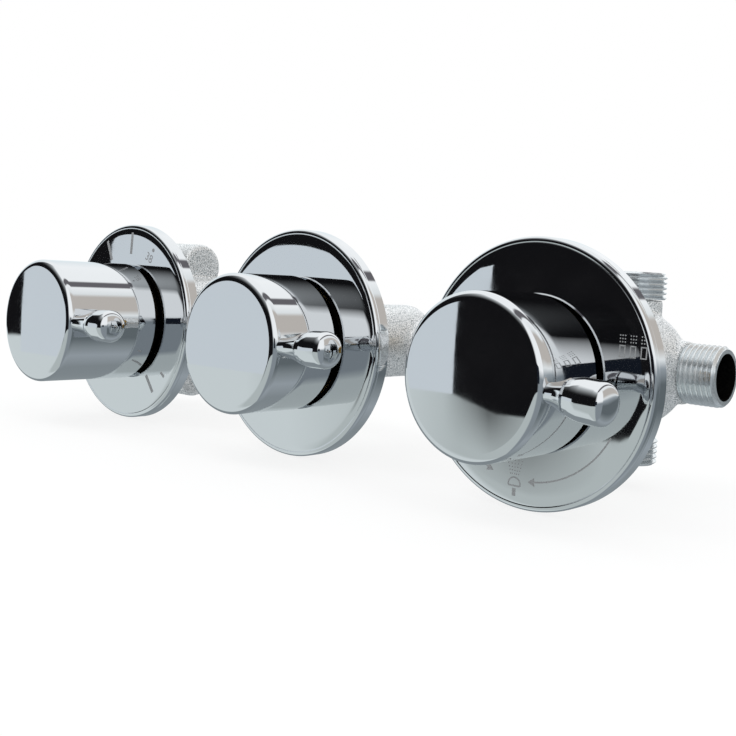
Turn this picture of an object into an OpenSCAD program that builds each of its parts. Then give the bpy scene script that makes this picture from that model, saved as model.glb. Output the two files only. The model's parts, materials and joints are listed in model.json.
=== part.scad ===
// Concealed thermostatic shower valve with three round controls in a row:
// temperature on the left, flow in the middle, outlet diverter on the right.
// X runs along the row, Y goes into the wall, Z is up. The origin is on the
// axis of the middle control, in the plane of the wall.

/* [Row] */
// Distance between the axes of neighbouring controls
pitch = 106; // [104:1:120]

/* [Cover plates] */
// Outer radius of a cover plate
plate_r = 42.5; // [38:0.5:46]
// Thickness of a cover plate
plate_t = 7; // [6:0.5:9]
// Rounding of the plate's front edge
plate_edge = 1.3; // [0.5:0.1:2]

/* [Knobs] */
// Outer radius of a knob
knob_r = 25.5; // [24.5:0.5:27]
// Wall of the knob shell
knob_wall = 2.5; // [2:0.1:2.8]
// Thickness of the knob's front
knob_face_t = 2.2; // [1.8:0.1:2.6]
// Rounding of the knob's front edge
knob_edge = 2; // [1:0.1:2.1]
// Height of the crowned front
knob_crown = 0.5; // [0.2:0.1:0.8]
// Gap between a knob and its plate
knob_gap = 2.2; // [1.8:0.1:3]
// Distance of the temperature knob's front from the wall
temp_front = 51; // [48:0.5:56]
// Distance of the flow knob's front from the wall
flow_front = 39; // [38:0.5:44]
// Distance of the diverter knob's front from the wall
diverter_front = 39; // [38:0.5:44]

/* [Levers] */
// How far a lever stands out of its knob
lever_reach = 25.3; // [22:0.1:26]
// Radius of the grip
lever_grip_r = 6; // [5:0.25:6.5]
// Distance of the lever's axis behind the knob's front
lever_depth = 5.7; // [5.5:0.1:6.5]
// Length of the conical neck
lever_neck_l = 11.5; // [10:0.25:13]
// Radius of the neck where it leaves the knob
lever_root_r = 3.15; // [2.8:0.05:3.5]

/* [Fixing in the wall] */
// Outer radius of the threaded neck
neck_r = 17.5; // [17.2:0.1:17.8]
// How far the neck stands in front of the wall
neck_front = 12.5; // [12:0.1:13]
// Thickest panel that fits
panel_t = 10; // [6:0.5:11]

/* [Castings] */
// Radius of the thermostat housing
thermostat_r = 20; // [19.5:0.5:22]
// Radius of the flow housing
flow_r = 15; // [14.8:0.1:16]
// Radius of the diverter housing
diverter_r = 21.5; // [21:0.5:23]
// Depth of the axes of the bridge tubes
bridge_depth = 54; // [53.5:0.5:54.5]
// Outer radius of the bridge tubes
bridge_r = 8.5; // [8:0.1:8.8]
// Bore of the bridge tubes
bridge_bore = 5; // [4:0.1:5.2]

/* [Inlets and outlets] */
// Major radius of the half inch pipe thread
pipe_r = 10.478; // [10.4:0.001:10.6]
// Waterway inside the pipe threads
water_r = 7.5; // [6.8:0.1:7.8]
// Depth of the outlets' axes
outlet_depth = 60; // [59:0.5:61]
// Reach of the upper and lower outlet
outlet_up = 34; // [33:0.5:38]
// Reach of the right outlet
outlet_side = 35; // [34:0.5:38]
// Length of an outlet's thread
outlet_thread_l = 9.5; // [8:0.5:10]
// Height of the inlet barrels above and below the row's axis
inlet_height = 25; // [24.5:0.25:26]
// Depth of the inlets' axes
inlet_depth = 35; // [34.5:0.5:35.5]
// Reach of the inlets to the left
inlet_reach = 44; // [42:0.5:50]
// Distance of the barrels' blind ends from the thermostat's axis
barrel_end = 1.4; // [1:0.1:2]

/* [Fits] */
// Radial clearance of a shaft that turns or slides in a bore
running_fit = 0.05; // [0.03:0.01:0.08]
// Radial clearance of threads and pushed-in parts
thread_fit = 0.05; // [0.03:0.01:0.08]
// Radial clearance of loose parts
loose_fit = 0.3; // [0.2:0.05:0.35]
// Water film between the ceramic discs
disc_film = 0.05; // [0.03:0.01:0.1]
// End clearance between parts that move past each other
end_play = 0.2; // [0.15:0.01:0.25]

/* [Hidden] */
$fn = 96;

// Overrun of every cut
cut = 0.5;
// Pieces of a rounding and of the crown
round_steps = 6;
quarter = 90;
full_turn = 360;

// Axes of the three controls
temp_x = -pitch;
flow_x = 0;
diverter_x = pitch;

// Knob
knob_rear = plate_t + knob_gap;
knob_bore = knob_r - knob_wall;
knob_rim = 0.4;

// Hub, measured from the knob's front
hub_r = knob_bore - 2 * thread_fit;
hub_disc_l = 12;
hub_boss_r = 9;
hub_l = 17;
screw_recess_r = 5;
screw_recess_l = 6;
screw_web = 3;
spline_root_r = 4.1;
spline_tip_r = 4.7;
spline_teeth = 20;
spline_floor = knob_face_t + screw_recess_l + screw_web;
hub_rear = knob_face_t + hub_l;

// Stop finger behind a hub
finger_in = 13.6;
finger_out = 16.4;
finger_angle = 20;
stop_gap = 1;
finger_gap = 0.8;

// Hub screw
screw_head_r = 4.25;
screw_head_l = 4.6;
screw_shank_r = 2;
screw_l = 10;
screw_tip_gap = 1;
hex_key_r = 2.3;
hex_key_l = 2.4;
hex_sides = 6;

// Lever
lever_stud_r = 2;
lever_stud_in = 12.5;
lever_seat = 0.35;
lever_seam = 0.35;
lever_grip_l = 13;
lever_grip_round = 2.6;
lever_shoulder = 1.2;
lever_thread_r = 2;
lever_thread_l = 7;

// Cover plate
plate_bore = neck_r + loose_fit;
plate_rear_edge = 0.3;
gasket_in = 34.5;
gasket_w = 4;
gasket_t = 2;

// Nuts and washers on the necks
plate_nut_r = 21;
plate_nut_l = 5.3;
plate_nut_chamfer = 0.8;
nut_slot_w = 4;
nut_slot_depth = 1.6;
plate_nut_slots = 4;
lock_nut_slots = 6;
lock_nut_r = 21;
lock_nut_l = 6;
washer_t = 2;

// Necks of the castings
neck_chamfer = 0.6;
neck_bore = 14.5;
neck_bore_l = 14;
main_bore = 14.3;
neck_rear = 20;
casting_edge = 3;
flow_edge = 2;
end_of_well = 3;
channel_front = 3;

// Bonnets
hex_r = 13.8;
hex_l = 5.5;
bonnet_r = neck_bore - thread_fit;
bonnet_thread_l = neck_bore_l;
spindle_r = 4.5;
spindle_bore = spindle_r + running_fit;
bonnet_shoulder = -2;
bonnet_hollow = 9;
bonnet_front = -neck_front - hex_l;
seal_r = 0.6;
seal_squeeze = 0.02;
bonnet_seal_r = 0.75;

// Spindles
spindle_collar_l = 2;
spindle_hole_r = screw_shank_r + thread_fit;
spindle_groove_pitch = 4;
spindle_groove_gap = 4;
spindle_groove_from = bonnet_front + spindle_groove_gap;

// Bridge tubes and their sockets
plug_r = 7;
plug_l = 7;
socket_r = plug_r + thread_fit;
socket_l = 7.5;
boss_r = 9;
flow_boss = 6;
side_boss = 4;
plug_groove = 3.5;
plug_seal_r = 0.55;

// Thermostat casting
thermostat_rear = 66;
thermostat_bore_end = 62;
groove_r = 16;
hot_from = 27.5;
cold_from = 36;
port_l = 6;
mixed_from = 48;
mixed_to = 60;
mixed_r = 16.5;
barrel_r = 11;
barrel_edge = 2;
barrel_wall = 4.6;
port_r = 3;
port_x = -9.5;
inlet_thread_l = 15;
web_x = 22;
web_w = 16;

// Cage, shuttle and wax element of the thermostat
cage_r = main_bore - thread_fit;
cage_in = 11;
cage_seat = 9.6;
cage_from = neck_rear;
cage_to = 60;
seat_hot = 30.2;
seat_cold = 39.4;
seat_w = 3;
window_w = 9;
cage_floor = 2.5;
cage_floor_hole = 5;
shuttle_from = 31;
shuttle_to = 38.6;
shuttle_r = cage_in - running_fit;
shuttle_wall = 1.4;
shuttle_web_from = 33.8;
shuttle_web_t = 2;
shuttle_hole_r = 1.7;
shuttle_hole_at = 7;
shuttle_holes = 6;
wax_r = 4.6;
wax_flange_r = 6.2;
wax_flange_t = 1.6;
wax_from = 19.2;
wax_to = 46;
wax_tail_r = 2.2;
wax_tail_l = 5;
wax_pin_r = 2;
wax_pin_to = 24;
pusher_r = 8.6;
pusher_from = 1.2;
pusher_cup = 9;
pusher_cup_r = 6.9;
pusher_thread_r = 5.2;
pusher_to = 18.8;
key_w = 3;
key_r = 10.2;
key_to = 12;
spindle_thread_r = pusher_thread_r - running_fit;
spindle_thread_to = 8.2;
collar_r = 7;
overload_in = 4.4;
overload_out = 6.6;
return_in = 7.2;
return_out = 9;
nose_r = 9;
nose_l = 5.5;
stop_ring_r = 13.2;
stop_block_in = 12.6;
stop_block_out = 17;
temp_range = 120;
stop_ring_l = 5;

// Check valves and strainers, measured from the inlet's end
strainer_l = 1.2;
strainer_at = 3;
strainer_r = water_r - thread_fit;
strainer_hole = 0.55;
strainer_pitch = 1.9;
strainer_rows = 3;
check_from = 6;
check_l = 14;
check_r = water_r - thread_fit;
check_in = 5.6;
check_seat = 4.2;
check_seat_l = 2.5;
check_spider = 2;
check_guide = 1.6;
check_hole = 1.2;
check_hole_at = 3.7;
check_holes = 6;
poppet_r = 5;
poppet_t = 1.8;
poppet_stem = check_guide - running_fit;
poppet_l = 13;
check_spring_in = 2;
check_spring_out = 3.4;
check_lift = 3;

// Flow cartridge
flow_rear = 61;
flow_neck_to = 28;
flow_taper_to = 31;
flow_chamber = 12.5;
seat_seal_l = 2.05;
seat_hole = 5.5;
well_to = bridge_depth + plug_r - end_of_well;
channel_in = 8.3;
channel_out = 12.3;
channel_w = 9;
channel_back = 1;
channel_to = well_to + channel_back;
tail_r = 10.6;
disc_r = 9.3;
disc_bore = disc_r + running_fit;
tail_window_w = 9;
tail_window_from = 21.5;
tail_window_to = 29;
moving_from = 30.4;
disc_t = 4;
fixed_t = 3.5;
fixed_from = moving_from + disc_t + disc_film;
fixed_to = fixed_from + fixed_t;
seat_depth = fixed_to + seat_seal_l;
channel_from = seat_depth - channel_front;
disc_in = 2;
disc_out = 5.8;
disc_sector = 78;
drive_w = 3.6;
drive_l = 15;
drive_fit = 0.2;
drive_depth = 1.5;
foot_r = 5;
seat_seal_in = 6;
seat_seal_out = 7.8;
flow_range = 90;

// Diverter cartridge
sleeve_half = 10;
chamber_l = 4;
rear_wall = 3;
sleeve_from = outlet_depth - sleeve_half;
sleeve_to = outlet_depth + sleeve_half;
diverter_bore_end = sleeve_to + chamber_l;
diverter_rear = diverter_bore_end + rear_wall;
sleeve_in = 12.15;
sleeve_lip_l = 1.5;
sleeve_lip_r = 10.5;
rear_chamber = 12.5;
slot_in = 11;
slot_out = 17.5;
slot_w = 10;
slot_from = bridge_depth - bridge_bore - cut;
drum_r = 12.1;
drum_in = 9.5;
drum_front = 3;
drum_port = 6.3;
sleeve_port = 7.4;
port_seal_in = 6;
square_w = 7;
square_fit = 0.1;
square_l = 5;
bearing_r = 6;
bearing_l = 8;
bearing_from = sleeve_from - bearing_l;
outlet_neck_r = 9.9;
outlet_neck_from = 18.4;
side_neck_r = 11;
outlet_chamfer = 1;
outlet_chamfer_in = 0.6;

// Points of a circular arc in a profile of radius and depth
function arc(r0, y0, r, from, to) =
    [for (i = [0 : round_steps]) let (a = from + (to - from) * i / round_steps)
        [r0 + r * cos(a), y0 + r * sin(a)]];

// Turned solid around an axis into the wall, profile in [radius, depth]
module turned(profile) rotate([-quarter, 0, 0]) rotate_extrude() polygon(profile);

// Turned solid around an axis along the row, profile in [radius, x]
module turned_x(profile) rotate([0, quarter, 0]) rotate_extrude() polygon(profile);

// Round bar into the wall
module bar_y(r, from, to) translate([0, from, 0]) rotate([-quarter, 0, 0]) cylinder(r = r, h = to - from);

// Round bar along the row
module bar_x(r, from, to) translate([from, 0, 0]) rotate([0, quarter, 0]) cylinder(r = r, h = to - from);

// Round bar upwards
module bar_z(r, from, to) translate([0, 0, from]) cylinder(r = r, h = to - from);

// Plain ring into the wall
module ring_y(inner, outer, from, to)
    turned([[inner, from], [outer, from], [outer, to], [inner, to]]);

// O-ring around an axis into the wall
module oring_y(r, section, at) translate([0, at, 0]) rotate([-quarter, 0, 0])
    rotate_extrude() translate([r, 0]) circle(r = section);

// Sector of a ring, angles from the right and anticlockwise as seen from the front
module sector_y(inner, outer, from, to, a0, a1) {
    step_a = (a1 - a0) / ceil((a1 - a0) / 10);
    angles = [for (a = [a0 : step_a : a1 + step_a / 2]) min(a, a1)];
    translate([0, to, 0]) rotate([quarter, 0, 0]) linear_extrude(to - from)
        polygon(concat([for (a = angles) outer * [cos(a), sin(a)]],
            [for (i = [len(angles) - 1 : -1 : 0]) inner * [cos(angles[i]), sin(angles[i])]]));
}

// Splined bar into the wall, its teeth grown all round by the clearance
module spline_y(from, to, clearance) translate([0, from, 0]) rotate([-quarter, 0, 0])
    linear_extrude(to - from) polygon([for (i = [0 : 2 * spline_teeth - 1])
        let (r = (i % 2 == 0 ? spline_tip_r : spline_root_r) + clearance, a = i * full_turn / (2 * spline_teeth))
        r * [cos(a), sin(a)]]);

// Cup-shaped knob with a crowned front, the lever's hole on the right
module knob_shell(front) difference() {
    crowned = knob_r - knob_edge;
    turned(concat(
        [for (i = [0 : round_steps]) let (share = i / round_steps)
            [crowned * share, -front + knob_crown * share * share]],
        arc(crowned, -front + knob_crown + knob_edge, knob_edge, -quarter, 0),
        [[knob_r, -knob_rear - knob_rim], [knob_r - knob_rim, -knob_rear], [knob_bore, -knob_rear],
            [knob_bore, -front + knob_face_t], [0, -front + knob_face_t]]));
    translate([0, -front + lever_depth, 0]) {
        bar_x(lever_stud_r + thread_fit, knob_bore - knob_wall, knob_r + cut);
        bar_x(lever_root_r + thread_fit, knob_r - lever_seat, knob_r + cut);
    }
}

// Insert that joins the shell to the spindle, with an optional stop finger on the right
module knob_hub(front, finger_to) difference() {
    union() {
        turned([[0, -front + knob_face_t], [hub_r, -front + knob_face_t],
            [hub_r, -front + knob_face_t + hub_disc_l], [hub_boss_r, -front + knob_face_t + hub_disc_l],
            [hub_boss_r, -front + hub_rear], [0, -front + hub_rear]]);
        if (finger_to != 0)
            sector_y(finger_in, finger_out, -front + knob_face_t + hub_disc_l / 2, finger_to,
                -finger_angle / 2, finger_angle / 2);
    }
    bar_y(screw_recess_r, -front - cut, -front + knob_face_t + screw_recess_l);
    bar_y(screw_shank_r + loose_fit, -front, -front + hub_rear);
    spline_y(-front + spline_floor, -front + hub_rear + cut, thread_fit);
    translate([0, -front + lever_depth, 0])
        bar_x(lever_stud_r + thread_fit, lever_stud_in - lever_seat, hub_r + cut);
}

// Socket head screw from the hub's recess into the spindle
module hub_screw(front) {
    head_seat = -front + knob_face_t + screw_recess_l;
    difference() {
        union() {
            bar_y(screw_head_r, head_seat - screw_head_l, head_seat);
            bar_y(screw_shank_r, head_seat - cut, head_seat + screw_l);
        }
        translate([0, head_seat - screw_head_l - cut, 0]) rotate([-quarter, 0, 0])
            cylinder(r = hex_key_r, h = hex_key_l + cut, $fn = hex_sides);
    }
}

// Conical neck with a stud on both ends
module lever_stem(front) translate([0, -front + lever_depth, 0]) {
    root = knob_r - lever_seat;
    tip = knob_r + lever_neck_l;
    turned_x([[0, lever_stud_in], [lever_stud_r, lever_stud_in], [lever_stud_r, root],
        [lever_root_r, root], [lever_root_r, knob_r], [lever_grip_r + lever_seam, tip - lever_seam],
        [lever_grip_r, tip], [lever_thread_r, tip], [lever_thread_r, tip + lever_thread_l],
        [0, tip + lever_thread_l]]);
}

// Grip with a rounded end
module lever_grip(front) translate([0, -front + lever_depth, 0]) {
    from = knob_r + lever_neck_l + lever_seam;
    to = knob_r + lever_reach;
    bore = lever_thread_r + thread_fit;
    turned_x(concat([[bore, from], [lever_grip_r - lever_shoulder, from]],
        arc(lever_grip_r - lever_shoulder, from + lever_shoulder, lever_shoulder, -quarter, 0),
        arc(lever_grip_r - lever_grip_round, to - lever_grip_round, lever_grip_round, 0, quarter),
        [[0, to], [0, knob_r + lever_neck_l + lever_thread_l + lever_seam],
            [bore, knob_r + lever_neck_l + lever_thread_l + lever_seam]]));
}

// Round plate with a recess for its gasket
module cover_plate() difference() {
    turned(concat([[plate_bore, -plate_t]],
        arc(plate_r - plate_edge, -plate_t + plate_edge, plate_edge, -quarter, 0),
        [[plate_r, -plate_rear_edge], [plate_r - plate_rear_edge, 0], [plate_bore, 0]]));
    ring_y(gasket_in, gasket_in + gasket_w, -gasket_t, cut);
}

// Round nut with slots in its front
module slotted_nut(outer, from, to, slots, chamfer) difference() {
    turned([[neck_r + thread_fit, from], [outer - chamfer, from], [outer, from + chamfer],
        [outer, to], [neck_r + thread_fit, to]]);
    for (i = [0 : slots - 1]) rotate([0, i * full_turn / slots, 0])
        translate([outer - nut_slot_depth, from - cut, -nut_slot_w / 2])
            cube([nut_slot_depth + cut, to - from + 2 * cut, nut_slot_w]);
}

// Grooves for the O-rings of a spindle or a bonnet
module grooves(r, section, places)
    for (y = places) ring_y(r - 2 * section - 2 * seal_squeeze, r + cut, y - section - seal_squeeze,
        y + section + seal_squeeze);

spindle_groove_at = [spindle_groove_from, spindle_groove_from + spindle_groove_pitch];

// Front of every spindle: spline, screw hole, shaft and O-ring grooves
module spindle_front(front, shaft_to) difference() {
    union() {
        spline_y(-front + spline_floor, -front + hub_rear, 0);
        bar_y(spindle_r, -front + hub_rear, shaft_to);
    }
    bar_y(spindle_hole_r, -front + spline_floor - cut,
        -front + knob_face_t + screw_recess_l + screw_l + screw_tip_gap);
    grooves(spindle_r, seal_r, spindle_groove_at);
}

module spindle_seals() for (y = spindle_groove_at)
    oring_y(spindle_r - seal_r - seal_squeeze, seal_r, y);

// Hexagon, thread and shaft bore of every bonnet
module bonnet_front_solid() {
    translate([0, bonnet_front, 0]) rotate([-quarter, 0, 0])
        cylinder(r = hex_r, h = hex_l, $fn = hex_sides);
    bar_y(bonnet_r, -neck_front, bonnet_thread_l);
}

// Threaded neck of a casting, as the profile's front points
neck_profile = [[neck_bore, -neck_front], [neck_r - neck_chamfer, -neck_front],
    [neck_r, -neck_front + neck_chamfer]];

// Socket and water bore of a bridge tube on the side given by the sign
module bridge_socket(side, face, bore_from) translate([0, bridge_depth, 0]) mirror([side < 0 ? 1 : 0, 0, 0]) {
    bar_x(socket_r, face - socket_l, face + cut);
    bar_x(bridge_bore, bore_from, face);
}

module bridge_boss(side, face) translate([0, bridge_depth, 0]) mirror([side < 0 ? 1 : 0, 0, 0])
    bar_x(boss_r, 0, face);

// Bridge tube with a plug and an O-ring groove at each end
module bridge_tube(from, to) translate([0, bridge_depth, 0]) difference() {
    root = plug_r - 2 * plug_seal_r - 2 * seal_squeeze;
    half = plug_seal_r + seal_squeeze;
    turned_x(concat(
        [[bridge_bore, from - plug_l], [plug_r, from - plug_l], [plug_r, from - plug_groove - half],
            [root, from - plug_groove - half], [root, from - plug_groove + half],
            [plug_r, from - plug_groove + half], [plug_r, from], [bridge_r, from], [bridge_r, to],
            [plug_r, to], [plug_r, to + plug_groove - half], [root, to + plug_groove - half],
            [root, to + plug_groove + half], [plug_r, to + plug_groove + half], [plug_r, to + plug_l],
            [bridge_bore, to + plug_l]]));
}

module bridge_oring(x) translate([x, bridge_depth, 0]) rotate([0, quarter, 0])
    rotate_extrude() translate([plug_r - plug_seal_r - seal_squeeze, 0]) circle(r = plug_seal_r);

// Faces of the sockets along the row
left_from = temp_x + thermostat_r + side_boss;
left_to = flow_x - flow_r - flow_boss;
right_from = flow_x + flow_r + flow_boss;
right_to = diverter_x - diverter_r - side_boss;

// Male pipe end around an axis along +X with a chamfered mouth
function pipe_end(from, to) = [[0, from], [pipe_r, from], [pipe_r, to - outlet_chamfer],
    [pipe_r - outlet_chamfer, to], [0, to]];

// Temperature control
module temp_knob_shell() color("silver") translate([temp_x, 0, 0]) knob_shell(temp_front);
module temp_knob_hub() color("darkkhaki") translate([temp_x, 0, 0])
    knob_hub(temp_front, bonnet_front - finger_gap);
module temp_hub_screw() color("dimgray") translate([temp_x, 0, 0]) hub_screw(temp_front);
module temp_lever_stem() color("silver") translate([temp_x, 0, 0]) lever_stem(temp_front);
module temp_lever_grip() color("silver") translate([temp_x, 0, 0]) lever_grip(temp_front);
module temp_cover_plate() color("silver") translate([temp_x, 0, 0]) cover_plate();
module temp_spindle() color("goldenrod") translate([temp_x, 0, 0]) {
    spindle_front(temp_front, bonnet_shoulder + end_play);
    bar_y(collar_r, bonnet_shoulder + end_play, bonnet_shoulder + end_play + spindle_collar_l);
    bar_y(spindle_thread_r, bonnet_shoulder + end_play + spindle_collar_l, spindle_thread_to);
}
module temp_spindle_seals() color("black") translate([temp_x, 0, 0]) spindle_seals();

// Flow control
module flow_knob_shell() color("silver") translate([flow_x, 0, 0]) knob_shell(flow_front);
module flow_knob_hub() color("darkkhaki") translate([flow_x, 0, 0])
    knob_hub(flow_front, bonnet_front - finger_gap);
module flow_hub_screw() color("dimgray") translate([flow_x, 0, 0]) hub_screw(flow_front);
module flow_lever_stem() color("silver") translate([flow_x, 0, 0]) lever_stem(flow_front);
module flow_lever_grip() color("silver") translate([flow_x, 0, 0]) lever_grip(flow_front);
module flow_cover_plate() color("silver") translate([flow_x, 0, 0]) cover_plate();
module flow_spindle() color("goldenrod") translate([flow_x, 0, 0]) {
    foot_to = moving_from - drive_depth;
    spindle_front(flow_front, bonnet_shoulder + end_play);
    bar_y(collar_r, bonnet_shoulder + end_play, bonnet_shoulder + end_play + spindle_collar_l);
    bar_y(foot_r, bonnet_shoulder + end_play + spindle_collar_l, foot_to);
    translate([-drive_l / 2, foot_to, -drive_w / 2]) cube([drive_l, 2 * drive_depth - end_play, drive_w]);
}
module flow_spindle_seals() color("black") translate([flow_x, 0, 0]) spindle_seals();

// Diverter control
module diverter_knob_shell() color("silver") translate([diverter_x, 0, 0]) knob_shell(diverter_front);
module diverter_knob_hub() color("darkkhaki") translate([diverter_x, 0, 0]) knob_hub(diverter_front, 0);
module diverter_hub_screw() color("dimgray") translate([diverter_x, 0, 0]) hub_screw(diverter_front);
module diverter_lever_stem() color("silver") translate([diverter_x, 0, 0]) lever_stem(diverter_front);
module diverter_lever_grip() color("silver") translate([diverter_x, 0, 0]) lever_grip(diverter_front);
module diverter_cover_plate() color("silver") translate([diverter_x, 0, 0]) cover_plate();
module diverter_spindle() color("goldenrod") translate([diverter_x, 0, 0]) {
    spindle_front(diverter_front, bonnet_shoulder + end_play);
    bar_y(bearing_r, bonnet_shoulder + end_play, sleeve_from + end_play);
    translate([-square_w / 2, sleeve_from, -square_w / 2]) cube([square_w, square_l, square_w]);
}
module diverter_spindle_seals() color("black") translate([diverter_x, 0, 0]) spindle_seals();

// Fixing parts of all three necks
module plate_gaskets() color("black") for (x = [temp_x, flow_x, diverter_x]) translate([x, 0, 0])
    ring_y(gasket_in + thread_fit, gasket_in + gasket_w - thread_fit, -gasket_t, 0);
module plate_nuts() color("goldenrod") for (x = [temp_x, flow_x, diverter_x]) translate([x, 0, 0])
    slotted_nut(plate_nut_r, -plate_t - plate_nut_l, -plate_t, plate_nut_slots, plate_nut_chamfer);
module neck_washers() color("black") for (x = [temp_x, flow_x, diverter_x]) translate([x, 0, 0])
    ring_y(neck_r + loose_fit, lock_nut_r, panel_t, panel_t + washer_t);
module panel_lock_nuts() color("goldenrod") for (x = [temp_x, flow_x, diverter_x]) translate([x, 0, 0])
    slotted_nut(lock_nut_r, panel_t + washer_t, panel_t + washer_t + lock_nut_l, lock_nut_slots,
        plate_nut_chamfer);

// Inlet barrel of the thermostat casting, blind towards the row
barrel_profile = concat([[0, -inlet_reach], [pipe_r - outlet_chamfer, -inlet_reach],
    [pipe_r, -inlet_reach + outlet_chamfer], [pipe_r, -inlet_reach + inlet_thread_l],
    [barrel_r, -inlet_reach + inlet_thread_l]],
    arc(barrel_r - barrel_edge, -barrel_end - barrel_edge, barrel_edge, 0, quarter), [[0, -barrel_end]]);

module thermostat_housing() color("gainsboro") translate([temp_x, 0, 0]) difference() {
    union() {
        turned(concat([[0, -neck_front]], [for (i = [1, 2]) neck_profile[i]], [[neck_r, neck_rear]],
            [[thermostat_r, neck_rear]],
            arc(thermostat_r - casting_edge, thermostat_rear - casting_edge, casting_edge, 0, quarter),
            [[0, thermostat_rear]]));
        for (side = [-1, 1]) translate([0, inlet_depth, side * inlet_height]) turned_x(barrel_profile);
        translate([-web_x, inlet_depth - web_w / 2, -inlet_height])
            cube([web_x - barrel_end - barrel_edge, web_w, 2 * inlet_height]);
        bridge_boss(1, thermostat_r + side_boss);
    }
    bar_y(neck_bore, -neck_front - cut, neck_bore_l);
    bar_y(main_bore, -neck_front, thermostat_bore_end);
    ring_y(0, groove_r, hot_from, hot_from + port_l);
    ring_y(0, groove_r, cold_from, cold_from + port_l);
    ring_y(0, mixed_r, mixed_from, mixed_to);
    for (side = [-1, 1]) {
        translate([0, inlet_depth, side * inlet_height])
            bar_x(water_r, -inlet_reach - cut, -barrel_end - barrel_wall);
        translate([port_x, (side > 0 ? hot_from : cold_from) + port_l / 2, 0])
            bar_z(port_r, side > 0 ? 0 : -inlet_height, side > 0 ? inlet_height : 0);
    }
    bridge_socket(1, thermostat_r + side_boss, main_bore - cut);
}

module flow_housing() color("gainsboro") translate([flow_x, 0, 0]) difference() {
    union() {
        turned(concat([[0, -neck_front]], [for (i = [1, 2]) neck_profile[i]],
            [[neck_r, flow_neck_to], [flow_r, flow_taper_to]],
            arc(flow_r - flow_edge, flow_rear - flow_edge, flow_edge, 0, quarter), [[0, flow_rear]]));
        for (side = [-1, 1]) bridge_boss(side, flow_r + flow_boss);
    }
    bar_y(neck_bore, -neck_front - cut, neck_bore_l);
    bar_y(flow_chamber, -neck_front, seat_depth);
    bar_y(seat_hole, seat_depth - cut, well_to);
    translate([channel_in, channel_from, -channel_w / 2])
        cube([channel_out - channel_in, channel_to - channel_from, channel_w]);
    bridge_socket(-1, flow_r + flow_boss, 0);
    bridge_socket(1, flow_r + flow_boss, channel_in);
}

module outlet(angle, reach, neck, neck_from) translate([0, outlet_depth, 0]) rotate([0, -angle, 0])
    turned_x(concat([[0, 0], [neck, neck_from], [neck, reach - outlet_thread_l]],
        [for (i = [1 : 4]) pipe_end(reach - outlet_thread_l, reach)[i]]));

module diverter_housing() color("gainsboro") translate([diverter_x, 0, 0]) difference() {
    union() {
        turned(concat([[0, -neck_front]], [for (i = [1, 2]) neck_profile[i]], [[neck_r, neck_rear]],
            [[neck_r, flow_neck_to], [diverter_r, flow_neck_to]],
            arc(diverter_r - casting_edge, diverter_rear - casting_edge, casting_edge, 0, quarter),
            [[0, diverter_rear]]));
        for (side = [-1, 1]) outlet(side * quarter, outlet_up, outlet_neck_r, outlet_neck_from);
        outlet(0, outlet_side, side_neck_r, outlet_neck_from);
        bridge_boss(-1, diverter_r + side_boss);
    }
    bar_y(neck_bore, -neck_front - cut, neck_bore_l);
    bar_y(main_bore, -neck_front, sleeve_to);
    bar_y(rear_chamber, sleeve_to - cut, diverter_bore_end);
    translate([-slot_out, slot_from, -slot_w / 2])
        cube([slot_out - slot_in, diverter_bore_end - slot_from, slot_w]);
    translate([0, outlet_depth, 0]) {
        bar_z(water_r, -outlet_up - cut, outlet_up + cut);
        bar_x(water_r, 0, outlet_side + cut);
    }
    bridge_socket(-1, diverter_r + side_boss, slot_out - cut);
}

module left_bridge_tube() color("goldenrod") bridge_tube(left_from, left_to);
module right_bridge_tube() color("goldenrod") bridge_tube(right_from, right_to);
module bridge_seals() color("black")
    for (x = [left_from - plug_groove, left_to + plug_groove, right_from - plug_groove, right_to + plug_groove])
        bridge_oring(x);

// Groove in the thread run-out of each bonnet
bonnet_seal_back = 2;
bonnet_seal_at = bonnet_thread_l - bonnet_seal_back;
module bonnet_seals() color("black") for (x = [temp_x, flow_x, diverter_x]) translate([x, 0, 0])
    oring_y(bonnet_r - bonnet_seal_r - seal_squeeze, bonnet_seal_r, bonnet_seal_at);

// Thermostat cartridge
module thermostat_bonnet() color("goldenrod") translate([temp_x, 0, 0]) difference() {
    union() {
        bonnet_front_solid();
        bar_y(cage_r, 0, cage_from);
        bar_y(nose_r, bonnet_front - nose_l, bonnet_front + cut);
    }
    bar_y(spindle_bore, bonnet_front - nose_l - cut, 0);
    bar_y(bonnet_hollow, bonnet_shoulder, cage_from + cut);
    translate([-key_r - thread_fit, 0, -key_w / 2 - thread_fit])
        cube([2 * (key_r + thread_fit), cage_from + cut, key_w + 2 * thread_fit]);
    grooves(bonnet_r, bonnet_seal_r, [bonnet_seal_at]);
}

module temp_stop_ring() color("orangered") translate([temp_x, 0, 0]) {
    to = bonnet_front;
    free = temp_range + finger_angle / 2 + stop_gap;
    ring_y(nose_r + thread_fit, stop_ring_r, to - stop_ring_l, to);
    sector_y(stop_ring_r - thread_fit, stop_block_out, to - stop_ring_l, to, free, full_turn - free);
}

module temp_pusher() color("white") translate([temp_x, 0, 0]) difference() {
    union() {
        bar_y(pusher_r, pusher_from, pusher_to);
        translate([-key_r, pusher_from, -key_w / 2]) cube([2 * key_r, key_to - pusher_from, key_w]);
    }
    bar_y(pusher_thread_r, pusher_from - cut, pusher_cup);
    bar_y(pusher_cup_r, pusher_cup, pusher_to + cut);
}

module overload_spring() color("lightslategray") translate([temp_x, 0, 0])
    ring_y(overload_in, overload_out, pusher_cup, wax_from);

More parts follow.
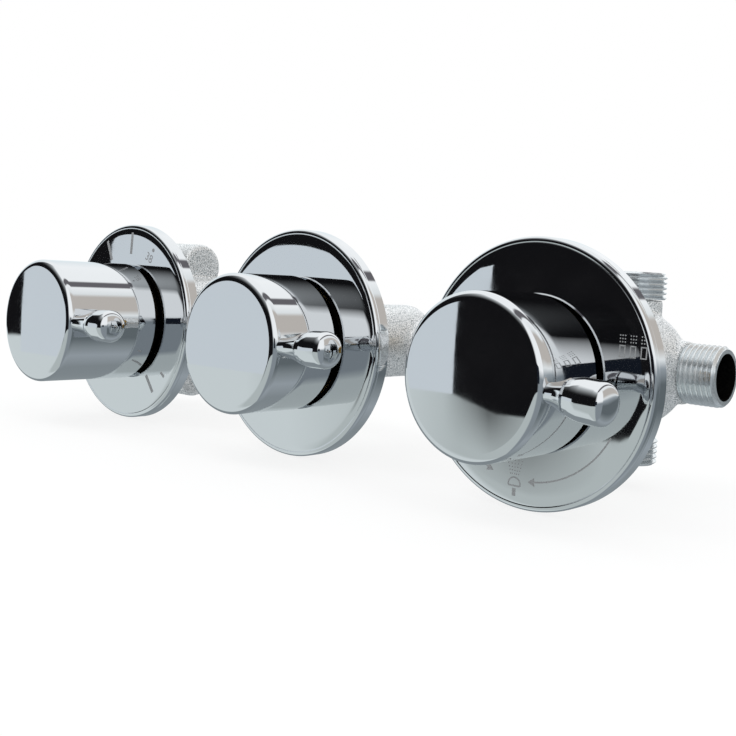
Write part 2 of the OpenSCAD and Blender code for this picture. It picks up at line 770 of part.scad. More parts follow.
module wax_element() color("peru") translate([temp_x, 0, 0]) turned([[0, wax_from],
    [wax_flange_r, wax_from], [wax_flange_r, wax_from + wax_flange_t], [wax_pin_r, wax_from + wax_flange_t],
    [wax_pin_r, wax_pin_to], [wax_r, wax_pin_to], [wax_r, wax_to], [wax_tail_r, wax_to],
    [wax_tail_r, wax_to + wax_tail_l], [0, wax_to + wax_tail_l]]);

module mixing_shuttle() color("whitesmoke") translate([temp_x, 0, 0]) difference() {
    union() {
        ring_y(shuttle_r - shuttle_wall, shuttle_r, shuttle_from, shuttle_to);
        bar_y(shuttle_r - shuttle_wall / 2, shuttle_web_from, shuttle_web_from + shuttle_web_t);
    }
    bar_y(wax_r + thread_fit, shuttle_web_from - cut, shuttle_web_from + shuttle_web_t + cut);
    for (i = [0 : shuttle_holes - 1]) rotate([0, i * full_turn / shuttle_holes, 0])
        translate([shuttle_hole_at, 0, 0])
            bar_y(shuttle_hole_r, shuttle_web_from - cut, shuttle_web_from + shuttle_web_t + cut);
}

module return_spring() color("lightslategray") translate([temp_x, 0, 0])
    ring_y(return_in, return_out, shuttle_web_from + shuttle_web_t, cage_to - cage_floor);

// Sleeve with windows for hot, cold and mixed water and a seat on each side of the shuttle
cage_groove_at = [(cage_from + hot_from) / 2, (hot_from + port_l + cold_from) / 2,
    (cold_from + port_l + mixed_from) / 2];
module thermostat_cage() color("white") translate([temp_x, 0, 0]) difference() {
    bar_y(cage_r, cage_from, cage_to);
    bar_y(cage_seat, cage_from - cut, cage_to - cage_floor);
    bar_y(cage_in, seat_hot, seat_cold);
    bar_y(cage_in, seat_cold + seat_w, cage_to - cage_floor);
    bar_y(cage_floor_hole, cage_to - cage_floor - cut, cage_to + cut);
    for (a = [0, quarter]) rotate([0, a, 0]) {
        for (y = [hot_from, cold_from]) translate([-cage_r - cut, y + port_l / 4, -window_w / 2])
            cube([2 * (cage_r + cut), port_l / 2, window_w]);
        translate([-cage_r - cut, mixed_from + port_l / 4, -window_w / 2])
            cube([2 * (cage_r + cut), cage_to - cage_floor - mixed_from - port_l / 2, window_w]);
    }
    grooves(cage_r, bonnet_seal_r, cage_groove_at);
}

module cage_seals() color("black") translate([temp_x, 0, 0]) for (y = cage_groove_at)
    oring_y(cage_r - bonnet_seal_r - seal_squeeze, bonnet_seal_r, y);

// Places an inlet part on the barrel's axis, measured from the inlet's end
module in_inlet(side) translate([temp_x - inlet_reach, inlet_depth, side * inlet_height]) children();

module check_body(side) color("white") in_inlet(side) difference() {
    bar_x(check_r, check_from, check_from + check_l);
    bar_x(check_seat, check_from - cut, check_from + check_l / 2);
    bar_x(check_in, check_from + check_seat_l, check_from + check_l - check_spider);
    bar_x(check_guide, check_from, check_from + check_l + cut);
    for (i = [0 : check_holes - 1]) rotate([i * full_turn / check_holes, 0, 0])
        translate([0, check_hole_at, 0]) bar_x(check_hole, check_from, check_from + check_l + cut);
}

module check_poppet(side) color("steelblue") in_inlet(side) {
    bar_x(poppet_r, check_from + check_seat_l + disc_film, check_from + check_seat_l + poppet_t);
    bar_x(poppet_stem, check_from + check_seat_l, check_from + check_seat_l + poppet_l);
}

module check_spring(side) color("lightslategray") in_inlet(side) difference() {
    bar_x(check_spring_out, check_from + check_seat_l + poppet_t, check_from + check_l - check_spider);
    bar_x(check_spring_in, check_from, check_from + check_l);
}

module hot_check_body() check_body(1);
module hot_check_poppet() check_poppet(1);
module hot_check_spring() check_spring(1);
module cold_check_body() check_body(-1);
module cold_check_poppet() check_poppet(-1);
module cold_check_spring() check_spring(-1);

// Punched discs in front of the check valves
module inlet_strainers() color("lightslategray") for (side = [-1, 1]) in_inlet(side) difference() {
    bar_x(strainer_r, strainer_at, strainer_at + strainer_l);
    for (row = [0 : strainer_rows]) for (i = [0 : max(0, row * hex_sides - 1)])
        rotate([row == 0 ? 0 : i * full_turn / (row * hex_sides), 0, 0])
            translate([0, row * strainer_pitch, 0])
                bar_x(strainer_hole, strainer_at - cut, strainer_at + strainer_l + cut);
}

// Flow cartridge
module flow_bonnet() color("goldenrod") translate([flow_x, 0, 0]) difference() {
    to = bonnet_front;
    free = finger_angle / 2 + stop_gap;
    union() {
        bonnet_front_solid();
        bar_y(tail_r, 0, fixed_to);
        bar_y(nose_r, to - finger_gap / 2, to + cut);
        sector_y(stop_block_in, stop_block_out, to - finger_gap, to + stop_ring_l, flow_range + free,
            full_turn - free);
    }
    bar_y(spindle_bore, bonnet_front - finger_gap - cut, 0);
    bar_y(disc_bore, bonnet_shoulder, fixed_to + cut);
    for (a = [0, quarter]) rotate([0, a, 0])
        translate([-tail_r - cut, tail_window_from, -tail_window_w / 2])
            cube([2 * (tail_r + cut), tail_window_to - tail_window_from, tail_window_w]);
    grooves(bonnet_r, bonnet_seal_r, [bonnet_seal_at]);
}

// Ceramic disc with two openings, turned by the given angle
module ceramic_disc(from, to, angle) difference() {
    bar_y(disc_r, from, to);
    for (a = [angle, angle + full_turn / 2])
        sector_y(disc_in, disc_out, from - cut, to + cut, a - disc_sector / 2, a + disc_sector / 2);
}

module flow_moving_disc() color("ivory") translate([flow_x, 0, 0]) difference() {
    ceramic_disc(moving_from, moving_from + disc_t, quarter);
    translate([-drive_l / 2 - drive_fit, moving_from - cut, -drive_w / 2 - drive_fit])
        cube([drive_l + 2 * drive_fit, drive_depth + cut, drive_w + 2 * drive_fit]);
}

module flow_fixed_disc() color("ivory") translate([flow_x, 0, 0]) ceramic_disc(fixed_from, fixed_to, 0);

module flow_seat_seal() color("black") translate([flow_x, 0, 0])
    ring_y(seat_seal_in, seat_seal_out, fixed_to, seat_depth);

// Diverter cartridge
module diverter_bonnet() color("goldenrod") translate([diverter_x, 0, 0]) difference() {
    union() {
        bonnet_front_solid();
        bar_y(cage_r, 0, sleeve_from);
    }
    bar_y(spindle_bore, bonnet_front - cut, 0);
    bar_y(bearing_r + running_fit, bonnet_shoulder, sleeve_from + cut);
    bar_y(bonnet_hollow, neck_bore_l / 2, bearing_from);
    grooves(bonnet_r, bonnet_seal_r, [bonnet_seal_at]);
}

module diverter_drum() color("ivory") translate([diverter_x, 0, 0]) difference() {
    bar_y(drum_r, sleeve_from + 2 * end_play, sleeve_to - sleeve_lip_l - end_play);
    bar_y(drum_in, sleeve_from + drum_front, sleeve_to);
    translate([0, outlet_depth, 0]) bar_x(drum_port, 0, drum_r + cut);
    translate([-square_w / 2 - square_fit, sleeve_from, -square_w / 2 - square_fit])
        cube([square_w + 2 * square_fit, square_l, square_w + 2 * square_fit]);
}

module diverter_sleeve() color("white") translate([diverter_x, 0, 0]) difference() {
    bar_y(cage_r, sleeve_from, sleeve_to);
    bar_y(sleeve_in, sleeve_from - cut, sleeve_to - sleeve_lip_l);
    bar_y(sleeve_lip_r, sleeve_from, sleeve_to + cut);
    translate([0, outlet_depth, 0]) {
        bar_z(sleeve_port, -cage_r - cut, cage_r + cut);
        bar_x(sleeve_port, 0, cage_r + cut);
    }
}

// Ring in each port of the sleeve that wipes the drum
module diverter_port_seals() color("black") translate([diverter_x, 0, 0]) intersection() {
    ring_y(sleeve_in, cage_r, sleeve_from, sleeve_to);
    translate([0, outlet_depth, 0]) for (a = [-quarter, 0, quarter]) rotate([0, a, 0]) difference() {
        bar_x(sleeve_port - thread_fit, cage_in / 2, cage_r + cut);
        bar_x(port_seal_in, 0, cage_r + 2 * cut);
    }
}

temp_knob_shell();
temp_knob_hub();
temp_hub_screw();
temp_lever_stem();
temp_lever_grip();
temp_cover_plate();
temp_spindle();
temp_spindle_seals();
flow_knob_shell();
flow_knob_hub();
flow_hub_screw();
flow_lever_stem();
flow_lever_grip();
flow_cover_plate();
flow_spindle();
flow_spindle_seals();
diverter_knob_shell();
diverter_knob_hub();
diverter_hub_screw();
diverter_lever_stem();
diverter_lever_grip();
diverter_cover_plate();
diverter_spindle();
diverter_spindle_seals();
plate_gaskets();
plate_nuts();
neck_washers();
panel_lock_nuts();
thermostat_housing();
flow_housing();
diverter_housing();
left_bridge_tube();
right_bridge_tube();
bridge_seals();
bonnet_seals();
thermostat_bonnet();
temp_stop_ring();
temp_pusher();
overload_spring();
wax_element();
mixing_shuttle();
return_spring();
thermostat_cage();
cage_seals();
hot_check_body();
hot_check_poppet();
hot_check_spring();
cold_check_body();
cold_check_poppet();
cold_check_spring();
inlet_strainers();
flow_bonnet();
flow_moving_disc();
flow_fixed_disc();
flow_seat_seal();
diverter_bonnet();
diverter_drum();
diverter_sleeve();
diverter_port_seals();
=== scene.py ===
# %% [markdown]
# # A concealed thermostatic shower valve
# Three polished knobs stand in a row on round cover plates, and rough castings with pipe threads
# lie behind them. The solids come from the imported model, and this file gives them their finish:
# turned chrome shells, rolled threads, cast grain and the etched marks on the plates.

# %% Load the frame
import json
from math import acos, asin, ceil, cos, degrees, pi, radians, sin

import bpy
from mathutils import Matrix, Vector


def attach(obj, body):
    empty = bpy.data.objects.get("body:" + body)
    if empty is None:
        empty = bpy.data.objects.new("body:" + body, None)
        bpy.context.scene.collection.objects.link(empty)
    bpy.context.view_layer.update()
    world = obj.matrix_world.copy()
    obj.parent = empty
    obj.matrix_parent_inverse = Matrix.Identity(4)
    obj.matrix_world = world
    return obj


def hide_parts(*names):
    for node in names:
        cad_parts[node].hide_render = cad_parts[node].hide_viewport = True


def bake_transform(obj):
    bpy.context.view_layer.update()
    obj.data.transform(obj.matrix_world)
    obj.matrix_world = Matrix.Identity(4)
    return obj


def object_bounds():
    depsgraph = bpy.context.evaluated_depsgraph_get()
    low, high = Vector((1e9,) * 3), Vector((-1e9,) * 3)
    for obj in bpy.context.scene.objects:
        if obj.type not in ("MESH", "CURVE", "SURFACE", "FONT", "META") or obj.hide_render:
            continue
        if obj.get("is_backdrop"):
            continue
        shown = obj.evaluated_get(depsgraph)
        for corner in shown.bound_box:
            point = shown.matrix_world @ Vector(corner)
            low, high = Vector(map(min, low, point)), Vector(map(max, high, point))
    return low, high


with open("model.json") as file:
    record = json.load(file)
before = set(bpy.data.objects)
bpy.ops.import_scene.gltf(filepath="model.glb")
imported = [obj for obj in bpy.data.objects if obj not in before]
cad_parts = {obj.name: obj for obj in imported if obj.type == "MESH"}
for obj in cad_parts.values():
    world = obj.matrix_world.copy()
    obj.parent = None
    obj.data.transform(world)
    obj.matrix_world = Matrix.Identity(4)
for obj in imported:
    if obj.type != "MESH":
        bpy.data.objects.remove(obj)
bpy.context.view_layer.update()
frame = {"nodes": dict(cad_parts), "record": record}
MM = 0.001
nodes = frame["nodes"]

# %% [markdown]
# ## The camera
# The photograph looks at the row from the right and almost level, from about 40 cm, so the right
# knob is far larger than the left one. The place, the turn and the focal length were worked out
# from the ellipses of the plates, the knobs and the outlets.

# %% Camera
PHOTO_PX = 736
CAMERA_AT = (278.51 * MM, -272.61 * MM, 28.83 * MM)
YAW, PITCH, ROLL = 0.698, 0.012, 0.061
FOCAL_PX = 1020.94
CENTRE_PX = (408.95, 284.73)
SENSOR = 36
CLIP_START = 10 * MM


def camera_matrix():
    forward = Vector((-sin(YAW) * cos(PITCH), cos(YAW) * cos(PITCH), -sin(PITCH)))
    level = Vector((cos(YAW), sin(YAW), 0))
    upward = level.cross(forward)
    right = level * cos(ROLL) + upward * sin(ROLL)
    up = upward * cos(ROLL) - level * sin(ROLL)
    turn = Matrix((right, up, -forward)).transposed().to_4x4()
    return Matrix.Translation(CAMERA_AT) @ turn


bpy.ops.object.camera_add()
camera = bpy.context.object
camera.name = "photo_camera"
camera.matrix_world = camera_matrix()
camera.data.sensor_width = SENSOR
camera.data.lens = FOCAL_PX / PHOTO_PX * SENSOR
camera.data.shift_x = (PHOTO_PX / 2 - CENTRE_PX[0]) / PHOTO_PX
camera.data.shift_y = (CENTRE_PX[1] - PHOTO_PX / 2) / PHOTO_PX
camera.data.clip_start = CLIP_START
bpy.context.scene.camera = camera
bpy.context.scene.view_settings.view_transform = "Standard"
print("lens", camera.data.lens, "shift", camera.data.shift_x, camera.data.shift_y)

# %% [markdown]
# ## Small helpers
# Colours are written as they look on a screen, and one function turns them into the linear values
# that the renderer works with. Another adds one node, sets what is named and links its inputs.

# %% Helpers


def linear(code, alpha=1.0):
    parts = [int(code[i:i + 2], 16) / 255 for i in (1, 3, 5)]
    return [p / 12.92 if p <= 0.04045 else ((p + 0.055) / 1.055) ** 2.4 for p in parts] + [alpha]


def add_node(tree, kind, settings=None, **inputs):
    node = tree.nodes.new(kind)
    for name, value in (settings or {}).items():
        setattr(node, name, value)
    for name, value in inputs.items():
        socket = node.inputs[int(name[1:])] if name[1:].isdigit() else node.inputs[name.replace("_", " ")]
        if isinstance(value, bpy.types.NodeSocket):
            tree.links.new(value, socket)
        else:
            socket.default_value = value
    return node


def deselect():
    """An operator acts on all that is selected, and loading leaves the solids selected."""
    bpy.ops.object.select_all(action="DESELECT")


def new_material(name):
    material = bpy.data.materials.new(name)
    material.use_nodes = True
    tree = material.node_tree
    tree.nodes.clear()
    return material, tree


def finish_material(material, tree, shader):
    output = tree.nodes.new("ShaderNodeOutputMaterial")
    tree.links.new(shader.outputs[0], output.inputs["Surface"])
    return material


def object_place(tree):
    return tree.nodes.new("ShaderNodeTexCoord").outputs["Object"]


def set_ramp(ramp, stops):
    elements = ramp.color_ramp.elements
    while len(elements) > 1:
        elements.remove(elements[-1])
    elements[0].position, elements[0].color = stops[0]
    for place, colour in stops[1:]:
        elements.new(place).color = colour


print("white is", linear("#ffffff"))

# %% [markdown]
# ## The studio
# Chrome has no colour of its own: it shows the room. The photograph's room is a white tent with
# dark gaps behind the valve, a bright side to the right of the camera, and to the left a dark room
# with one pale screen in it, which the knobs' faces mirror. The world paints that room by direction
# for mirror rays, an even soft light for matt surfaces, and plain white for the background. The
# screen is near, so the plates see it elsewhere than the knobs do: it is a real card in the scene.
# So is a small dark card beside the camera, which the right knob's side mirrors.

# %% Colours and directions of the room
WHITE = linear("#ffffff")
TENT_WHITE, TENT_SHADE, TENT_BLUE = linear("#fafcfd"), linear("#e8eced"), linear("#dde6ea")
DARK_BAR, WALL_BEIGE, TABLE_GREY = linear("#68666a"), linear("#c0bab4"), linear("#848c90")
TABLE_LIGHT, TABLE_DARK = linear("#98a0a6"), linear("#60686c")
# Angles are in degrees. The tent goes round the long axis of the row: 0 is behind it, 90 overhead.
TENT = (
    (-180, TENT_BLUE), (-172, TENT_BLUE), (-164, TABLE_GREY), (-95, TABLE_GREY), (-66, TABLE_LIGHT),
    (-48, TABLE_GREY), (-30, TABLE_DARK), (-8, TABLE_DARK), (6, TABLE_LIGHT), (14, TENT_SHADE),
    (24, WALL_BEIGE), (50, WALL_BEIGE), (56, TENT_SHADE), (70, TENT_WHITE), (72, DARK_BAR),
    (82, DARK_BAR), (85, TENT_WHITE), (128, TENT_WHITE), (160, TENT_BLUE),
)
ROOM_DARK, ROOM_HAZE, SCREEN_PALE = linear("#131315"), linear("#c4c8ca"), linear("#ccd4da")
# The last colour on the next line is a painted shadow that the mirrored table shows below the pale screen's
# foot.
TABLE_BRIGHT, TABLE_FRONT, TABLE_FOOT_SHADOW = linear("#cfd7d8"), linear("#b6bebe"), linear("#666a6a")
SIDE_LIGHT, SIDE_TABLE = linear("#fafcfd"), linear("#868e94")
SOFT_LIGHT, MIRROR_LIGHT = 0.9, 1.18
print("tent with", len(TENT), "stops")

# %% [markdown]
# The room in front of the row is laid out by two angles: the bearing, which is 0 straight in front
# of the row and grows to the left, and the height over the horizon. Three tables say how one number
# or colour follows from another, and a loop turns each row into a node. The table's far edge, its
# foot, climbs with the bearing between two limits.

# %% Angles and edges of the room
FOOT_FROM, FOOT_AT, FOOT_SLOPE, FOOT_TOP, FOOT_LOWEST = 38.2, -7.5, 0.3, -5.2, -9.2
# The painted shadow below the pale screen's foot is centred at this bearing.
FOOT_SHADOW_AT, IN_DEGREES = 33.5, 180 / pi
# name, sum, and the two numbers or earlier names that go in
SUMS = (
    ("around", "ARCTAN2", "z", "x"),
    ("leftward", "MULTIPLY", "x", -1.0),
    ("forward", "MULTIPLY", "y", -1.0),
    ("bearing_angle", "ARCTAN2", "leftward", "forward"),
    ("bearing", "MULTIPLY", "bearing_angle", IN_DEGREES),
    ("height_angle", "ARCSINE", "z", 0.0),
    ("height", "MULTIPLY", "height_angle", IN_DEGREES),
    ("from_foot_start", "SUBTRACT", "bearing", FOOT_FROM),
    ("foot_climb", "MULTIPLY", "from_foot_start", FOOT_SLOPE),
    ("foot_line", "ADD", "foot_climb", FOOT_AT),
    ("foot_capped", "MINIMUM", "foot_line", FOOT_TOP),
    ("foot", "MAXIMUM", "foot_capped", FOOT_LOWEST),
    ("over_foot", "SUBTRACT", "height", "foot"),
    ("beside_foot_shadow", "SUBTRACT", "bearing", FOOT_SHADOW_AT),
    ("off_foot_shadow", "ABSOLUTE", "beside_foot_shadow", 0.0),
)
# name, what it is measured by, where the soft edge begins and ends, and the shares before and after
EDGES = (
    ("tent_share", "around", -pi, pi, 0.0, 1.0),
    ("haze_rise", "height", 26, 58, 0.0, 1.0),
    ("table_share", "over_foot", -0.15, 0.15, 1.0, 0.0),
    # the next two rows shape the painted shadow below the pale screen's foot
    ("foot_shadow_top", "over_foot", -4.85, -0.35, 0.0, 1.0),
    ("foot_shadow_side", "off_foot_shadow", 0, 6, 1.0, 0.0),
    ("bright_share", "bearing", 37.5, 46.5, 0.0, 1.0),
    ("side_share", "bearing", -31, -19, 1.0, 0.0),
    ("side_light_share", "height", 1.5, 10.5, 0.0, 1.0),
    ("under_top", "height", 57, 63, 1.0, 0.0),
    ("in_front", "y", -0.14, -0.06, 1.0, 0.0),
)
PRODUCTS = (("haze", "haze_rise", "haze_rise"), ("foot_shadow", "foot_shadow_top", "foot_shadow_side"),
            ("dark_share", "in_front", "under_top"))
# name, share, and the colours or earlier names for a share of 0 and of 1
MIXES = (
    ("room", "haze", ROOM_DARK, ROOM_HAZE),
    ("plain_table", "bright_share", TABLE_FRONT, TABLE_BRIGHT),
    # the table takes on the painted shadow below the pale screen's foot
    ("table", "foot_shadow", "plain_table", TABLE_FOOT_SHADOW),
    ("dark", "table_share", "room", "table"),
    ("side", "side_light_share", SIDE_TABLE, SIDE_LIGHT),
    ("front", "side_share", "dark", "side"),
    ("studio", "dark_share", "tent", "front"),
)
print(len(SUMS), "sums,", len(EDGES), "edges and", len(MIXES), "mixes")

# %% World


def build_world():
    world = bpy.data.worlds.new("studio")
    bpy.context.scene.world = world
    world.use_nodes = True
    tree = world.node_tree
    tree.nodes.clear()
    direction = tree.nodes.new("ShaderNodeTexCoord").outputs["Generated"]
    axes = add_node(tree, "ShaderNodeSeparateXYZ", _0=direction).outputs
    made = {"x": axes["X"], "y": axes["Y"], "z": axes["Z"]}
    for name, kind, *values in SUMS:
        first, second = (made[v] if isinstance(v, str) else v for v in values)
        made[name] = add_node(tree, "ShaderNodeMath", {"operation": kind}, _0=first, _1=second).outputs[0]
    for name, measure, start, end, before, after in EDGES:
        made[name] = add_node(tree, "ShaderNodeMapRange", _0=made[measure], _1=start, _2=end, _3=before,
                              _4=after).outputs[0]
    for name, first, second in PRODUCTS:
        made[name] = add_node(tree, "ShaderNodeMath", {"operation": "MULTIPLY"}, _0=made[first],
                              _1=made[second]).outputs[0]
    ramp = add_node(tree, "ShaderNodeValToRGB", _0=made["tent_share"])
    set_ramp(ramp, [((at + 180) / 360, colour) for at, colour in TENT])
    made["tent"] = ramp.outputs[0]
    for name, share, *colours in MIXES:
        first, second = (made[c] if isinstance(c, str) else c for c in colours)
        made[name] = add_node(tree, "ShaderNodeMix", {"data_type": "RGBA"}, _0=made[share], _6=first,
                              _7=second).outputs[2]
    path = tree.nodes.new("ShaderNodeLightPath").outputs
    seen = add_node(tree, "ShaderNodeBackground", Color=made["studio"], Strength=MIRROR_LIGHT)
    even = add_node(tree, "ShaderNodeBackground", Color=WHITE, Strength=SOFT_LIGHT)
    plain = add_node(tree, "ShaderNodeBackground", Color=WHITE, Strength=1.0)
    glossy = add_node(tree, "ShaderNodeMixShader", _0=path["Is Glossy Ray"], _1=even.outputs[0],
                      _2=seen.outputs[0])
    whole = add_node(tree, "ShaderNodeMixShader", _0=path["Is Camera Ray"], _1=glossy.outputs[0],
                     _2=plain.outputs[0])
    output = tree.nodes.new("ShaderNodeOutputWorld")
    tree.links.new(whole.outputs[0], output.inputs["Surface"])
    print("world with", len(tree.nodes), "nodes")


build_world()

# %% Cards that only the mirrors see
# (x, y) of the left and the right edge in millimetres, heights of their feet and tops, colour
CARDS = {
    "pale_screen": ((-464, -230), (-381, -651), (-60, -108), (62, 62), SCREEN_PALE),
    "dark_card": ((233, -344), (334, -290), (-17, -17), (66, 66), linear("#181d26")),
}


def build_card(name, left, right, foot, top, colour):
    """A card seen by mirror rays only, drawn as a plane whose corners are moved to their places."""
    deselect()
    bpy.ops.mesh.primitive_plane_add(size=1, location=(0, 0, 0))
    card = bpy.context.object
    card.name = name
    corners = {(-1, -1): (*left, foot[0]), (1, -1): (*right, foot[1]),
               (-1, 1): (*left, top[0]), (1, 1): (*right, top[1])}
    for point in card.data.vertices:
        side = (1 if point.co.x > 0 else -1, 1 if point.co.y > 0 else -1)
        point.co = Vector(corners[side]) * MM
    material, tree = new_material(f"lit_{name}")
    path = tree.nodes.new("ShaderNodeLightPath").outputs
    glow = add_node(tree, "ShaderNodeEmission", Color=colour, Strength=MIRROR_LIGHT)
    clear = add_node(tree, "ShaderNodeBsdfTransparent")
    split = add_node(tree, "ShaderNodeMixShader", _0=path["Is Glossy Ray"], _1=clear.outputs[0],
                     _2=glow.outputs[0])
    card.data.materials.append(finish_material(material, tree, split))
    card.visible_shadow = False
    card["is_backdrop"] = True
    print(name, "from", left, "to", right)


for name, card in CARDS.items():
    build_card(name, *card)

# %% Floor and lamps
FLOOR_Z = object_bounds()[0][2] - 0.3 * MM
FLOOR_SIZE, FLOOR_CUTS = 6.0, 4
# Near the valve the floor is matt and takes its shadow, and it fades to plain white further out.
FLOOR_NEAR, FLOOR_FAR, FLOOR_GLOW = 0.15, 0.6, 0.84
LAMPS = {"key_softbox": ((-0.5, -0.7, 1.3), 0.9, 7), "fill_softbox": ((0.9, -0.2, 0.9), 0.8, 3)}


def build_floor():
    deselect()
    bpy.ops.mesh.primitive_grid_add(x_subdivisions=FLOOR_CUTS, y_subdivisions=FLOOR_CUTS,
                                    size=FLOOR_SIZE, location=(0, 0, FLOOR_Z))
    floor = bpy.context.object
    floor.name = "studio_floor"
    material, tree = new_material("matt_studio_floor")
    path = tree.nodes.new("ShaderNodeLightPath").outputs
    away = add_node(tree, "ShaderNodeVectorMath", {"operation": "LENGTH"}, _0=object_place(tree))
    share = add_node(tree, "ShaderNodeMapRange", _0=away.outputs["Value"], _1=FLOOR_NEAR, _2=FLOOR_FAR,
                     _3=FLOOR_GLOW, _4=1.0)
    matt = add_node(tree, "ShaderNodeBsdfDiffuse", Color=linear("#f4f6f6"))
    glow = add_node(tree, "ShaderNodeEmission", Color=WHITE, Strength=1.0)
    clear = add_node(tree, "ShaderNodeBsdfTransparent")
    seen = add_node(tree, "ShaderNodeMixShader", _0=share.outputs[0], _1=matt.outputs[0], _2=glow.outputs[0])
    split = add_node(tree, "ShaderNodeMixShader", _0=path["Is Glossy Ray"], _1=seen.outputs[0],
                     _2=clear.outputs[0])
    floor.data.materials.append(finish_material(material, tree, split))
    floor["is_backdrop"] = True


def build_lamp(name, place, size, power):
    """A soft lamp in metres and watts that looks at the valve. Mirrors don't see it."""
    bpy.ops.object.light_add(type="AREA", location=place)
    lamp = bpy.context.object
    lamp.name = name
    lamp.data.size = size
    lamp.data.energy = power
    lamp.rotation_euler = (Vector((0, 0, 0)) - Vector(place)).to_track_quat("-Z", "Y").to_euler()
    lamp.visible_glossy = False


build_floor()
for name, (place, size, power) in LAMPS.items():
    build_lamp(name, place, size, power)
print("floor at", FLOOR_Z, "and", len(LAMPS), "lamps")

# %% [markdown]
# ## Chrome
# The knobs, levers and plates are brass, polished and plated with bright nickel and chromium.
# Plating leaves a mirror with a very faint ripple, and fingers and cloths leave a haze in patches.

# %% Polished chrome
CHROME = "#dcdee0"
POLISH, HAZE = 0.02, 0.05
PATCH_SIZE, PATCH_LOW, PATCH_HIGH = 9 * MM, 0.35, 0.75
RIPPLE_SIZE, RIPPLE_DEPTH, RIPPLE_SHARE = 4 * MM, 0.05 * MM, 0.03


def polished_chrome(name):
    material, tree = new_material(name)
    place = object_place(tree)
    patches = add_node(tree, "ShaderNodeTexNoise", Vector=place, Scale=1 / PATCH_SIZE, Detail=3.0)
    rough = add_node(tree, "ShaderNodeMapRange", _0=patches.outputs[0], _1=PATCH_LOW, _2=PATCH_HIGH,
                     _3=POLISH, _4=HAZE)
    ripple = add_node(tree, "ShaderNodeTexNoise", Vector=place, Scale=1 / RIPPLE_SIZE, Detail=1.0)
    bump = add_node(tree, "ShaderNodeBump", Strength=RIPPLE_SHARE, Distance=RIPPLE_DEPTH,
                    Height=ripple.outputs[0])
    shader = add_node(tree, "ShaderNodeBsdfPrincipled", Base_Color=linear(CHROME), Metallic=1.0,
                      Roughness=rough.outputs[0], Normal=bump.outputs[0])
    return finish_material(material, tree, shader)


chrome = polished_chrome("polished_chrome_plate")
print(chrome.name)

# %% [markdown]
# ## The castings
# The bodies are sand-cast brass, plated as they came from the mould, so the mould's sand shows as
# a bright grain with dark pits. It is drawn at half a millimetre, coarser than the sand, so that it
# shows. Part of the skin is matt, so it is only partly metallic here. Threads are cut after casting
# and shine.

# %% Cast metal
GRAIN, GRAIN_DEPTH, GRAIN_SHARE = 0.45 * MM, 0.12 * MM, 0.8
GRAIN_STOPS = ((0.37, "#4c5254"), (0.45, "#bec4c6"), (0.56, "#ffffff"))
LUMP_SIZE, LUMP_LOW, LUMP_HIGH = 3 * MM, 0.3, 0.7
CAST_ROUGH, CAST_METALLIC = (0.28, 0.45), 0.6


def cast_metal(name):
    material, tree = new_material(name)
    place = object_place(tree)
    grain = add_node(tree, "ShaderNodeTexNoise", Vector=place, Scale=1 / GRAIN, Detail=4.0, Roughness=0.7)
    lumps = add_node(tree, "ShaderNodeTexNoise", Vector=place, Scale=1 / LUMP_SIZE, Detail=2.0)
    ramp = add_node(tree, "ShaderNodeValToRGB", _0=grain.outputs[0])
    set_ramp(ramp, [(at, linear(code)) for at, code in GRAIN_STOPS])
    rough = add_node(tree, "ShaderNodeMapRange", _0=lumps.outputs[0], _1=LUMP_LOW, _2=LUMP_HIGH,
                     _3=CAST_ROUGH[0], _4=CAST_ROUGH[1])
    bump = add_node(tree, "ShaderNodeBump", Strength=GRAIN_SHARE, Distance=GRAIN_DEPTH,
                    Height=grain.outputs[0])
    shader = add_node(tree, "ShaderNodeBsdfPrincipled", Base_Color=ramp.outputs[0], Metallic=CAST_METALLIC,
                      Roughness=rough.outputs[0], Normal=bump.outputs[0])
    return finish_material(material, tree, shader)


cast = cast_metal("sand_cast_plated_brass")
print(cast.name)

# %% [markdown]
# ## The parts inside
# Cartridges, springs and seals hardly show, but each still has the finish of its own metal, rubber,
# plastic or ceramic, with the tool marks or the fine mottle that its making leaves: two close
# colours mixed by a noise, which also lifts the surface by a few hundredths of a millimetre. Tool
# marks are finer than that, and are drawn as coarse as they need to be to show. The nuts in the gap
# behind the knobs are coloured dark brown, a painted shade that keeps that gap black. Threads are
# plated and bright, and the bores are coloured dull and dark, a painted shade inside them.

# %% Finishes of the inner parts
MOTTLE_LOW, MOTTLE_HIGH = 0.3, 0.7


def plain_finish(name, code, metallic, rough, grain_mm, depth_mm, darker):
    """A metal, rubber, plastic or ceramic of the colour code, mottled with the darker one."""
    material, tree = new_material(name)
    place = object_place(tree)
    mottle = add_node(tree, "ShaderNodeTexNoise", Vector=place, Scale=1 / (grain_mm * MM), Detail=3.0)
    ramp = add_node(tree, "ShaderNodeValToRGB", _0=mottle.outputs[0])
    set_ramp(ramp, [(MOTTLE_LOW, linear(darker)), (MOTTLE_HIGH, linear(code))])
    bump = add_node(tree, "ShaderNodeBump", Strength=0.5, Distance=depth_mm * MM, Height=mottle.outputs[0])
    shader = add_node(tree, "ShaderNodeBsdfPrincipled", Base_Color=ramp.outputs[0], Metallic=metallic,
                      Roughness=rough, Normal=bump.outputs[0])
    return finish_material(material, tree, shader)


